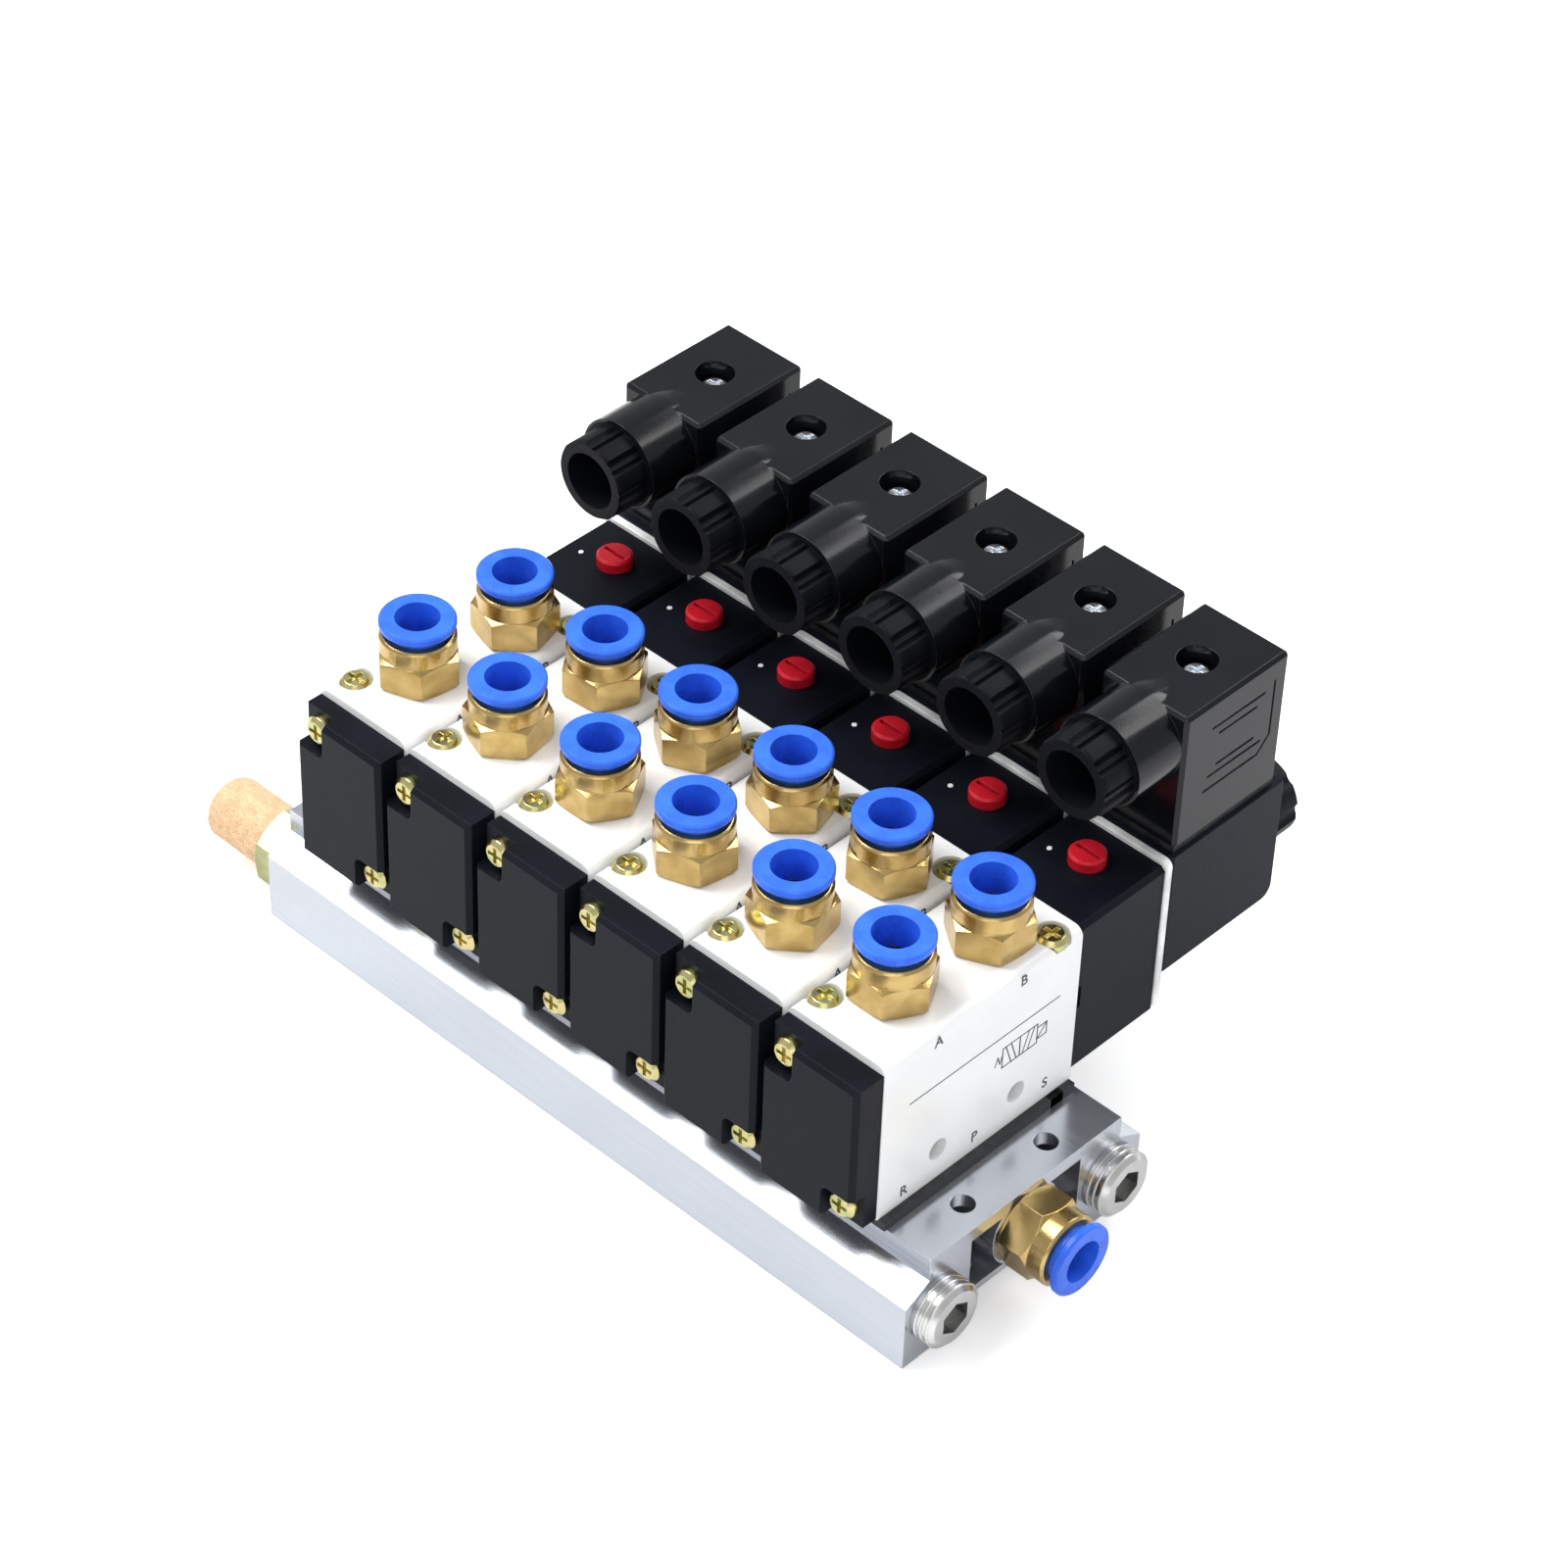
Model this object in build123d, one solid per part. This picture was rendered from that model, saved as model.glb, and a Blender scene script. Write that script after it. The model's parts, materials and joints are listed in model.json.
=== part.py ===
from build123d import *
import os

# Pneumatic valve island: single-solenoid 5/2 valves side by side on one extruded aluminium manifold.
# Millimetres. X runs along the manifold, from the silencer end to the supply fitting.
# Y runs along each valve, from its end cap at -Y to its coil at +Y. Z is up.
# The origin is the middle of the manifold's underside.

# ---- island ----
STATIONS = 6
END_ALLOWANCE = 11.0          # manifold length past the outer valves' half pitch

# ---- manifold extrusion ----
MANIFOLD_WIDTH = 60.0
LAND_WIDTH = 48.6             # flat table that the valves stand on
LAND_TOP = 22.0
LEDGE_INNER_Z = 17.2
LEDGE_OUTER_Z = 14.2
SLAB_THICKNESS = 2.8
WEB_THICKNESS = 1.5
WEB_BOTTOM_Z = 5.8            # the middle web stands clear of the ground
GALLERY_RADIUS = 6.3          # 1/4 inch port threads, as plain bores
SUPPLY_Z = 13.8
SUPPLY_BOSS_RADIUS = 8.2
EXHAUST_Y = 22.0              # the two exhaust galleries lie either side of the supply
EXHAUST_Z = 9.7
EXHAUST_BLOCK_INNER_Y = 13.9
FOOT_HOLE_RADIUS = 2.2
FOOT_HOLE_FROM_END = 5.3
FOOT_HOLE_Y = 10.6

# ---- valve body ----
BODY_WIDTH = 22.0
BODY_SPACING = 1.0
PITCH = BODY_WIDTH + BODY_SPACING
BODY_FRONT_Y = -25.4
BODY_LENGTH = 49.0
BODY_HEIGHT = 35.0
BODY_EDGE_RADIUS = 2.0
GASKET_THICKNESS = 2.0
GASKET_WAIST_WIDTH = 18.8
GASKET_LOBE_WIDTH = 21.4
GASKET_LOBE_LENGTH = 11.0
GASKET_CORNER_RADIUS = 2.0
GASKET_END_INSET = 0.5
VALVE_PORT_RADIUS = 3.0
EXHAUST_PORT_Y = 17.8
OUTLET_Y = 10.7
OUTLET_X = 1.2                # the two outlets stand either side of the valve's middle plane
OUTLET_THREAD_RADIUS = 6.0
OUTLET_THREAD_DEPTH = 8.5
SPOOL_BORE_RADIUS = 5.0
SPOOL_ABOVE_BASE = 17.5
SIDE_HOLE_RADIUS = 2.15
SIDE_HOLE_SPACING = 19.7
SIDE_HOLE_ABOVE_BASE = 6.6

# ---- screws ----
SCREW_RADIUS = 1.5            # M3
THREAD_CLEARANCE = 0.05
SCREW_HOLE_CLEARANCE = 0.2
PAN_HEAD_RADIUS = 2.9
PAN_HEAD_HEIGHT = 1.9
CROSS_WIDTH = 0.8
CROSS_LENGTH = 3.4
CROSS_DEPTH = 0.9
VALVE_SCREW_X = 8.2
VALVE_SCREW_FROM_FRONT = 5.8
VALVE_SCREW_FROM_BACK = 4.9
VALVE_SCREW_SINK = 1.7
VALVE_SCREW_POCKET_RADIUS = 3.3
VALVE_SCREW_GRIP = 5.0        # length in the manifold

# ---- end cap ----
CAP_THICKNESS = 6.4
CAP_WIDTH = 21.6
CAP_TOP_INSET = 1.6
CAP_BOTTOM_INSET = 0.3
CAP_EDGE_RADIUS = 0.9
CAP_NOTCH_WIDTH = 7.0
CAP_NOTCH_HEIGHT = 7.6
CAP_NOTCH_DEPTH = 3.2
CAP_NOTCH_RADIUS = 1.6
CAP_SCREW_IN = 3.9            # from the notched corner's two faces
CAP_SCREW_GRIP = 3.4

# ---- spool ----
SPOOL_TRAVEL = 3.0
SPOOL_END_GAP = 0.4
SPOOL_CLEARANCE = 0.05
SPOOL_WAIST_RADIUS = 3.2
SPOOL_WAIST_LENGTH = 11.0

# ---- pilot housing and manual override ----
PILOT_WIDTH = 21.4
PILOT_LENGTH = 21.6
PILOT_BOTTOM_Z = 26.0
PILOT_EDGE_RADIUS = 0.9
PILOT_SLOT_HEIGHT = 4.8
PILOT_SLOT_DEPTH = 1.2
PILOT_SLOT_WIDTH = 1.2
PILOT_SLOT_BOTTOM_Z = 40.0
VENT_RADIUS = 0.7
VENT_DEPTH = 1.0
VENT_X = -6.7
VENT_FROM_FRONT = 11.3
OVERRIDE_FROM_FRONT = 13.4
OVERRIDE_RADIUS = 3.45
OVERRIDE_STANDS_OUT = 2.2
OVERRIDE_LENGTH = 7.0
OVERRIDE_SLOT_WIDTH = 0.8
OVERRIDE_SLOT_DEPTH = 0.9
OVERRIDE_SLOT_LENGTH = 5.0
OVERRIDE_TRAVEL = 1.8
OVERRIDE_PIN_RADIUS = 1.6
OVERRIDE_PIN_LENGTH = 6.0
RUNNING_CLEARANCE = 0.05

# ---- plate, coil and armature ----
PLATE_WIDTH = 22.2
PLATE_THICKNESS = 1.6
PLATE_TOP_PROUD = 0.9
PLATE_CORNER_RADIUS = 1.6
COIL_WIDTH = 20.6
COIL_LENGTH = 30.0
COIL_BOTTOM_Z = 32.7
COIL_TOP_Z = 59.2
COIL_HEEL_RADIUS = 2.6
COIL_EDGE = 0.6
COIL_COLLAR_RADIUS = 8.6
COIL_COLLAR_LENGTH = 0.7
TUBE_RADIUS = 4.5
TUBE_WALL = 0.75
TUBE_SINK = 5.0               # length of the tube inside the pilot housing
TUBE_THREAD_LENGTH = 6.4
ARMATURE_LENGTH = 16.0
ARMATURE_TRAVEL = 1.0
COIL_NUT_RADIUS = 8.5
COIL_NUT_LENGTH = 7.0
COIL_NUT_FLANGE_RADIUS = 7.4
COIL_NUT_FLANGE_LENGTH = 1.6
COIL_NUT_LOBES = 8
COIL_NUT_EDGE = 0.6
COIL_NUT_FLUTE_RADIUS = 2.1
COIL_NUT_FLUTE_DEPTH = 1.0

# ---- connector ----
CONNECTOR_WIDTH = 19.2
CONNECTOR_LENGTH = 27.2
CONNECTOR_HEIGHT = 28.2
CONNECTOR_INSET = 1.0         # behind the coil's front face
CONNECTOR_EDGE = 0.7
CONNECTOR_GASKET_THICKNESS = 1.6
CONNECTOR_GASKET_INSET = 0.3
NECK_RADIUS = 9.0
NECK_LENGTH = 10.8
NECK_BELOW_TOP = 8.0
NECK_FADE_LENGTH = 6.1
NECK_BORE_RADIUS = 7.4
NECK_BORE_DEPTH = 9.0
NECK_MOUTH_RADIUS = 8.35
NECK_MOUTH_DEPTH = 0.9
CABLE_RADIUS_MAX = 5.6
CABLE_ROOM_LENGTH = 7.0
GLAND_HEAD_RADIUS = 8.1
GLAND_HEAD_LENGTH = 7.2
GLAND_SLEEVE_LENGTH = 5.0
GLAND_LOBES = 8
GLAND_EDGE = 0.6
GLAND_FLUTE_RADIUS = 3.2
GLAND_FLUTE_DEPTH = 0.6
CONNECTOR_SCREW_FROM_FRONT = 13.9
CONNECTOR_SCREW_POCKET_RADIUS = 3.7
CONNECTOR_SCREW_SINK = 2.6
CONNECTOR_SCREW_GRIP = 4.0
SIDE_LINE_WIDTH = 0.5
SIDE_LINE_DEPTH = 0.3
SIDE_FRAME_FROM_BACK = 3.5
SIDE_FRAME_FROM_FRONT = 6.3
SIDE_FRAME_FROM_TOP = 4.5
SIDE_FRAME_HEIGHT = 15.0
SIDE_FRAME_CORNER = 3.0
SIDE_STROKES = ((5.9, 0.81), (7.9, 0.58), (14.8, 0.58), (16.6, 0.81))  # drop, share of the frame

# ---- push-in fitting for 8 mm tube ----
HEX_ACROSS_FLATS = 14.0
HEX_HEIGHT = 6.4
HEX_CORNER_HEIGHT = 0.7
HEX_STOCK_RATIO = 0.58        # turned radius against the size across the flats
COLLAR_RADIUS = 7.0
COLLAR_HEIGHT = 3.6
COLLAR_CHAMFER = 0.5
FITTING_THREAD_CLEARANCE = 0.05
FITTING_THREAD_LENGTH = 7.5
FITTING_BORE_RADIUS = 3.0
TUBE_SOCKET_RADIUS = 4.1
TUBE_STOP_DEPTH = 8.5
RING_STEM_RADIUS = 5.3
RING_STEM_LENGTH = 5.3
RING_FLANGE_RADIUS = 7.0
RING_FLANGE_THICKNESS = 1.6
RING_EDGE = 0.35
RING_GAP = 1.5
RING_TRAVEL = 1.2

# ---- plugs and silencers ----
PLUG_STANDS_OUT = 4.3
PLUG_LENGTH = 11.0
PLUG_CHAMFER = 0.9
PLUG_SOCKET_ACROSS_FLATS = 6.0
PLUG_SOCKET_DEPTH = 5.0
SILENCER_HEX_LENGTH = 5.0
SILENCER_RADIUS = 6.3
SILENCER_LENGTH = 15.5
SILENCER_END_RADIUS = 2.2
SILENCER_THREAD_LENGTH = 7.5

# ---- worked out from the sizes above ----
MANIFOLD_LENGTH = STATIONS * PITCH + 2 * END_ALLOWANCE
END_X = MANIFOLD_LENGTH / 2
STATION_X = [(index - (STATIONS - 1) / 2) * PITCH for index in range(STATIONS)]
BODY_BACK_Y = BODY_FRONT_Y + BODY_LENGTH
BODY_MIDDLE_Y = BODY_FRONT_Y + BODY_LENGTH / 2
VALVE_SCREW_FRONT_Y = BODY_FRONT_Y + VALVE_SCREW_FROM_FRONT
VALVE_SCREW_BACK_Y = BODY_BACK_Y - VALVE_SCREW_FROM_BACK
BODY_BOTTOM = LAND_TOP + GASKET_THICKNESS
BODY_TOP = BODY_BOTTOM + BODY_HEIGHT
SPOOL_Z = BODY_BOTTOM + SPOOL_ABOVE_BASE
SCREW_HOLE_RADIUS = SCREW_RADIUS + THREAD_CLEARANCE
SCREW_PASS_RADIUS = SCREW_RADIUS + SCREW_HOLE_CLEARANCE
CAP_FRONT_Y = BODY_FRONT_Y - CAP_THICKNESS
CAP_BOTTOM = BODY_BOTTOM + CAP_BOTTOM_INSET
CAP_TOP = BODY_TOP - CAP_TOP_INSET
PILOT_BACK_Y = BODY_BACK_Y + PILOT_LENGTH
PLATE_BACK_Y = PILOT_BACK_Y + PLATE_THICKNESS
COIL_FRONT_Y = PLATE_BACK_Y + COIL_COLLAR_LENGTH
COIL_BACK_Y = COIL_FRONT_Y + COIL_LENGTH
COIL_Z = (COIL_BOTTOM_Z + COIL_TOP_Z) / 2
CONNECTOR_FRONT_Y = COIL_FRONT_Y + CONNECTOR_INSET
CONNECTOR_BOTTOM = COIL_TOP_Z + CONNECTOR_GASKET_THICKNESS
CONNECTOR_TOP = CONNECTOR_BOTTOM + CONNECTOR_HEIGHT
NECK_Z = CONNECTOR_TOP - NECK_BELOW_TOP
NECK_FRONT_Y = CONNECTOR_FRONT_Y - NECK_LENGTH
CONNECTOR_SCREW_Y = CONNECTOR_FRONT_Y + CONNECTOR_SCREW_FROM_FRONT
OVERRIDE_Y = BODY_BACK_Y + OVERRIDE_FROM_FRONT
COLLAR_TOP = HEX_HEIGHT + COLLAR_HEIGHT
RING_SEAT_DEPTH = RING_STEM_LENGTH - RING_GAP


def block(low, high):
    """A box between two corners."""
    size = [high[axis] - low[axis] for axis in range(3)]
    middle = [(high[axis] + low[axis]) / 2 for axis in range(3)]
    return Pos(*middle) * Box(*size)


def post(x, y, low, high, radius):
    """A cylinder along Z."""
    return Pos(x, y, (low + high) / 2) * Cylinder(radius, high - low)


def rod(x, z, low, high, radius):
    """A cylinder along Y."""
    return Pos(x, (low + high) / 2, z) * Rot(90, 0, 0) * Cylinder(radius, high - low)


def bar(y, z, low, high, radius):
    """A cylinder along X."""
    return Pos((low + high) / 2, y, z) * Rot(0, 90, 0) * Cylinder(radius, high - low)


def upright(across, height):
    """A hexagonal prism that stands on the origin, given across its flats."""
    return extrude(RegularPolygon(across / 2, 6, major_radius=False), height)


def turned_hexagon(across, height):
    """A hexagon with its corners turned off at both ends, as on a fitting or a nut."""
    round_stock = extrude(Circle(across * HEX_STOCK_RATIO), height)
    corners = round_stock.edges().group_by(Axis.Z)
    turned = chamfer(corners[-1] + corners[0], HEX_CORNER_HEIGHT, HEX_CORNER_HEIGHT * 1.6)
    return upright(across, height) & turned


def lobed(radius, count, flute_radius, flute_depth, length):
    """A fluted knob that stands on the origin."""
    flutes = PolarLocations(radius + flute_radius - flute_depth, count) * Circle(flute_radius)
    return extrude(Circle(radius) - flutes, length)


def pan_screw(length):
    """A cross-recessed pan-head screw, head upwards, its seat at the origin."""
    head = extrude(Circle(PAN_HEAD_RADIUS), PAN_HEAD_HEIGHT)
    head = chamfer(head.edges().group_by(Axis.Z)[-1], PAN_HEAD_HEIGHT * 0.4)
    recess = Rectangle(CROSS_LENGTH, CROSS_WIDTH) + Rectangle(CROSS_WIDTH, CROSS_LENGTH)
    head -= Pos(0, 0, PAN_HEAD_HEIGHT - CROSS_DEPTH) * extrude(recess, CROSS_DEPTH)
    return head + Pos(0, 0, -length) * extrude(Circle(SCREW_RADIUS), length)


def manifold():
    """The extrusion with its galleries, valve ports, tapped holes and foot holes."""
    half = MANIFOLD_WIDTH / 2
    land = LAND_WIDTH / 2
    right = [
        (EXHAUST_BLOCK_INNER_Y, WEB_BOTTOM_Z),
        (EXHAUST_BLOCK_INNER_Y, 0),
        (half, 0),
        (half, LEDGE_OUTER_Z),
        (land, LEDGE_INNER_Z),
        (land, LAND_TOP),
    ]
    left = [(-y, z) for y, z in reversed(right)]
    section = make_face(Polyline(right + left, close=True))
    pocket_bottom = WEB_BOTTOM_Z + WEB_THICKNESS
    pocket_top = LAND_TOP - SLAB_THICKNESS
    pocket = Rectangle(2 * EXHAUST_BLOCK_INNER_Y, pocket_top - pocket_bottom)
    section -= Pos(0, (pocket_bottom + pocket_top) / 2) * pocket
    section += Pos(0, SUPPLY_Z) * Circle(SUPPLY_BOSS_RADIUS)
    section -= Pos(0, SUPPLY_Z) * Circle(GALLERY_RADIUS)
    for side in (-1, 1):
        section -= Pos(side * EXHAUST_Y, EXHAUST_Z) * Circle(GALLERY_RADIUS)
    end_plane = Plane(origin=(-END_X, 0, 0), x_dir=(0, 1, 0), z_dir=(1, 0, 0))
    solid = extrude(end_plane * section, MANIFOLD_LENGTH)
    for x in STATION_X:
        solid -= post(x, 0, SUPPLY_Z, LAND_TOP, VALVE_PORT_RADIUS)
        for side in (-1, 1):
            solid -= post(x, side * EXHAUST_PORT_Y, EXHAUST_Z, LAND_TOP, VALVE_PORT_RADIUS)
        for side, y in ((-1, VALVE_SCREW_FRONT_Y), (1, VALVE_SCREW_BACK_Y)):
            low = LAND_TOP - VALVE_SCREW_GRIP
            solid -= post(x + side * VALVE_SCREW_X, y, low, LAND_TOP, SCREW_HOLE_RADIUS)
    foot_x = END_X - FOOT_HOLE_FROM_END
    for x in (-foot_x, foot_x):
        for y in (-FOOT_HOLE_Y, FOOT_HOLE_Y):
            solid -= post(x, y, WEB_BOTTOM_Z, LAND_TOP, FOOT_HOLE_RADIUS)
    return solid


def base_gasket(x):
    """The lobed rubber gasket under a valve body."""
    length = BODY_LENGTH - 2 * GASKET_END_INSET
    outline = Pos(0, BODY_MIDDLE_Y) * Rectangle(GASKET_WAIST_WIDTH, length)
    lobe = RectangleRounded(GASKET_LOBE_WIDTH, GASKET_LOBE_LENGTH, GASKET_CORNER_RADIUS)
    ports = [Pos(0, y) for y in (-EXHAUST_PORT_Y, 0, EXHAUST_PORT_Y)]
    outline += [place * lobe for place in ports]
    outline -= [place * Circle(VALVE_PORT_RADIUS) for place in ports]
    for side, y in ((-1, VALVE_SCREW_FRONT_Y), (1, VALVE_SCREW_BACK_Y)):
        outline -= Pos(side * VALVE_SCREW_X, y) * Circle(SCREW_PASS_RADIUS)
    return Pos(x, 0, LAND_TOP) * extrude(outline, GASKET_THICKNESS)


def cap_screw_places():
    """The two end-cap screws: side and height."""
    low = CAP_BOTTOM + CAP_SCREW_IN
    high = CAP_TOP - CAP_SCREW_IN
    across = CAP_WIDTH / 2 - CAP_SCREW_IN
    return [(-across, high), (across, low)]


def valve_body(x):
    """The painted valve body: spool bore, ports, screw holes and side mounting holes."""
    half = BODY_WIDTH / 2
    solid = block((-half, BODY_FRONT_Y, BODY_BOTTOM), (half, BODY_BACK_Y, BODY_TOP))
    solid = fillet(solid.edges().filter_by(Axis.Y).group_by(Axis.Z)[-1], BODY_EDGE_RADIUS)
    solid -= rod(0, SPOOL_Z, BODY_FRONT_Y, BODY_BACK_Y, SPOOL_BORE_RADIUS)
    for y in (-EXHAUST_PORT_Y, 0, EXHAUST_PORT_Y):
        solid -= post(0, y, BODY_BOTTOM, SPOOL_Z, VALVE_PORT_RADIUS)
    for side in (-1, 1):
        x_out = side * OUTLET_X
        y_out = side * OUTLET_Y
        solid -= post(x_out, y_out, BODY_TOP - OUTLET_THREAD_DEPTH, BODY_TOP, OUTLET_THREAD_RADIUS)
        solid -= post(x_out, y_out, SPOOL_Z, BODY_TOP, VALVE_PORT_RADIUS)
        y_hole = BODY_MIDDLE_Y + side * SIDE_HOLE_SPACING / 2
        solid -= bar(y_hole, BODY_BOTTOM + SIDE_HOLE_ABOVE_BASE, -half, half, SIDE_HOLE_RADIUS)
    for side, y in ((-1, VALVE_SCREW_FRONT_Y), (1, VALVE_SCREW_BACK_Y)):
        pocket = BODY_TOP - VALVE_SCREW_SINK
        solid -= post(side * VALVE_SCREW_X, y, BODY_BOTTOM, BODY_TOP, SCREW_PASS_RADIUS)
        solid -= post(side * VALVE_SCREW_X, y, pocket, BODY_TOP, VALVE_SCREW_POCKET_RADIUS)
    for x_screw, z in cap_screw_places():
        solid -= rod(x_screw, z, BODY_FRONT_Y, BODY_FRONT_Y + CAP_SCREW_GRIP, SCREW_HOLE_RADIUS)
    return Pos(x, 0, 0) * solid


def end_cap(x):
    """The black end cap, stepped back at two corners for its screws."""
    half = CAP_WIDTH / 2
    solid = block((-half, CAP_FRONT_Y, CAP_BOTTOM), (half, BODY_FRONT_Y, CAP_TOP))
    front = solid.faces().sort_by(Axis.Y)[0]
    solid = chamfer(front.edges(), CAP_EDGE_RADIUS)
    notch = RectangleRounded(2 * CAP_NOTCH_WIDTH, 2 * CAP_NOTCH_HEIGHT, CAP_NOTCH_RADIUS)
    front_plane = Plane(origin=(0, CAP_FRONT_Y, 0), x_dir=(1, 0, 0), z_dir=(0, -1, 0))
    for x_corner, z_corner in ((-half, CAP_TOP), (half, CAP_BOTTOM)):
        solid -= extrude(front_plane * Pos(x_corner, z_corner) * notch, -CAP_NOTCH_DEPTH)
    for x_screw, z in cap_screw_places():
        solid -= rod(x_screw, z, CAP_FRONT_Y, BODY_FRONT_Y, SCREW_HOLE_RADIUS)
    return Pos(x, 0, 0) * solid


def cap_screws(x):
    """The two screws that hold an end cap."""
    seat_y = CAP_FRONT_Y + CAP_NOTCH_DEPTH
    length = BODY_FRONT_Y - seat_y + CAP_SCREW_GRIP
    screw = Rot(90, 0, 0) * pan_screw(length)
    return [Pos(x + x_screw, seat_y, z) * screw for x_screw, z in cap_screw_places()]


def valve_screws(x):
    """The two long screws that hold a valve down on the manifold."""
    seat_z = BODY_TOP - VALVE_SCREW_SINK
    screw = pan_screw(seat_z - LAND_TOP + VALVE_SCREW_GRIP)
    places = ((-VALVE_SCREW_X, VALVE_SCREW_FRONT_Y), (VALVE_SCREW_X, VALVE_SCREW_BACK_Y))
    return [Pos(x + x_screw, y, seat_z) * screw for x_screw, y in places]


def spool(x):
    """The spool at its rest end, next to the pilot housing."""
    low = BODY_FRONT_Y + SPOOL_TRAVEL + SPOOL_END_GAP
    solid = rod(x, SPOOL_Z, low, BODY_BACK_Y, SPOOL_BORE_RADIUS - SPOOL_CLEARANCE)
    outer = rod(x, SPOOL_Z, 0, SPOOL_WAIST_LENGTH, SPOOL_BORE_RADIUS)
    waist = outer - rod(x, SPOOL_Z, 0, SPOOL_WAIST_LENGTH, SPOOL_WAIST_RADIUS)
    for y in (-OUTLET_Y - SPOOL_WAIST_LENGTH / 2, OUTLET_Y - SPOOL_WAIST_LENGTH / 2):
        solid -= Pos(0, y + SPOOL_TRAVEL / 2, 0) * waist
    return solid


def pilot_housing(x):
    """The black pilot housing with its override bore and armature-tube seat."""
    half = PILOT_WIDTH / 2
    solid = block((-half, BODY_BACK_Y, PILOT_BOTTOM_Z), (half, PILOT_BACK_Y, BODY_TOP))
    long_edges = solid.edges().filter_by(Axis.Y).group_by(Axis.Z)[-1]
    solid = chamfer(long_edges, PILOT_EDGE_RADIUS)
    button_bottom = BODY_TOP + OVERRIDE_STANDS_OUT - OVERRIDE_LENGTH
    pin_bottom = button_bottom - OVERRIDE_PIN_LENGTH
    solid -= post(0, OVERRIDE_Y, button_bottom - OVERRIDE_TRAVEL, BODY_TOP, OVERRIDE_RADIUS)
    pin_hole = OVERRIDE_PIN_RADIUS + RUNNING_CLEARANCE
    solid -= post(0, OVERRIDE_Y, pin_bottom - OVERRIDE_TRAVEL, BODY_TOP, pin_hole)
    solid -= post(VENT_X, BODY_BACK_Y + VENT_FROM_FRONT, BODY_TOP - VENT_DEPTH, BODY_TOP, VENT_RADIUS)
    solid -= rod(0, COIL_Z, PILOT_BACK_Y - TUBE_SINK, PILOT_BACK_Y, TUBE_RADIUS)
    slot_low = (half - PILOT_SLOT_DEPTH, BODY_BACK_Y, PILOT_SLOT_BOTTOM_Z)
    slot_high = (half, BODY_BACK_Y + PILOT_SLOT_WIDTH, PILOT_SLOT_BOTTOM_Z + PILOT_SLOT_HEIGHT)
    solid -= block(slot_low, slot_high)
    return Pos(x, 0, 0) * solid


def override_button(x):
    """The red button: pushed in by a screwdriver and turned to lock."""
    top = BODY_TOP + OVERRIDE_STANDS_OUT
    solid = post(0, 0, top - OVERRIDE_LENGTH, top, OVERRIDE_RADIUS - RUNNING_CLEARANCE)
    solid = chamfer(solid.edges().group_by(Axis.Z)[-1], 0.4)
    half_slot = OVERRIDE_SLOT_LENGTH / 2
    half_width = OVERRIDE_SLOT_WIDTH / 2
    solid -= block((-half_slot, -half_width, top - OVERRIDE_SLOT_DEPTH), (half_slot, half_width, top))
    return Pos(x, OVERRIDE_Y, 0) * solid


def override_pin(x):
    """The plunger under the button, which carries its push down to the pilot valve."""
    high = BODY_TOP + OVERRIDE_STANDS_OUT - OVERRIDE_LENGTH
    return post(x, OVERRIDE_Y, high - OVERRIDE_PIN_LENGTH, high, OVERRIDE_PIN_RADIUS)


def pilot_plate(x):
    """The thin white plate between the pilot housing and the coil."""
    top = BODY_TOP + PLATE_TOP_PROUD
    height = top - PILOT_BOTTOM_Z
    outline = RectangleRounded(PLATE_WIDTH, height, PLATE_CORNER_RADIUS)
    outline -= Pos(0, COIL_Z - (top + PILOT_BOTTOM_Z) / 2) * Circle(TUBE_RADIUS)
    plane = Plane(origin=(x, PLATE_BACK_Y, (top + PILOT_BOTTOM_Z) / 2), x_dir=(1, 0, 0), z_dir=(0, -1, 0))
    return extrude(plane * outline, PLATE_THICKNESS)


def core_tube(x):
    """The armature tube, closed by its fixed core and threaded for the coil nut."""
    front = PILOT_BACK_Y - TUBE_SINK
    back = COIL_BACK_Y + TUBE_THREAD_LENGTH
    room = ARMATURE_LENGTH + ARMATURE_TRAVEL
    tube = rod(x, COIL_Z, front, back, TUBE_RADIUS)
    return tube - rod(x, COIL_Z, front, front + room, TUBE_RADIUS - TUBE_WALL)


def armature(x):
    """The sliding armature inside the tube, at its sealed end."""
    front = PILOT_BACK_Y - TUBE_SINK
    radius = TUBE_RADIUS - TUBE_WALL - RUNNING_CLEARANCE
    return rod(x, COIL_Z, front, front + ARMATURE_LENGTH, radius)


def coil(x):
    """The moulded coil with a low round collar against the plate."""
    half = COIL_WIDTH / 2
    solid = block((-half, COIL_FRONT_Y, COIL_BOTTOM_Z), (half, COIL_BACK_Y, COIL_TOP_Z))
    heel = solid.edges().filter_by(Axis.X).group_by(Axis.Y)[-1].sort_by(Axis.Z)[0]
    solid = fillet(heel, COIL_HEEL_RADIUS)
    solid = chamfer(solid.faces().sort_by(Axis.Y)[0].edges().filter_by(Axis.Z), COIL_EDGE)
    solid += rod(0, COIL_Z, PLATE_BACK_Y, COIL_FRONT_Y, COIL_COLLAR_RADIUS)
    solid -= rod(0, COIL_Z, PLATE_BACK_Y, COIL_BACK_Y, TUBE_RADIUS)
    solid -= post(0, CONNECTOR_SCREW_Y, COIL_TOP_Z - CONNECTOR_SCREW_GRIP, COIL_TOP_Z, SCREW_HOLE_RADIUS)
    return Pos(x, 0, 0) * solid


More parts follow.
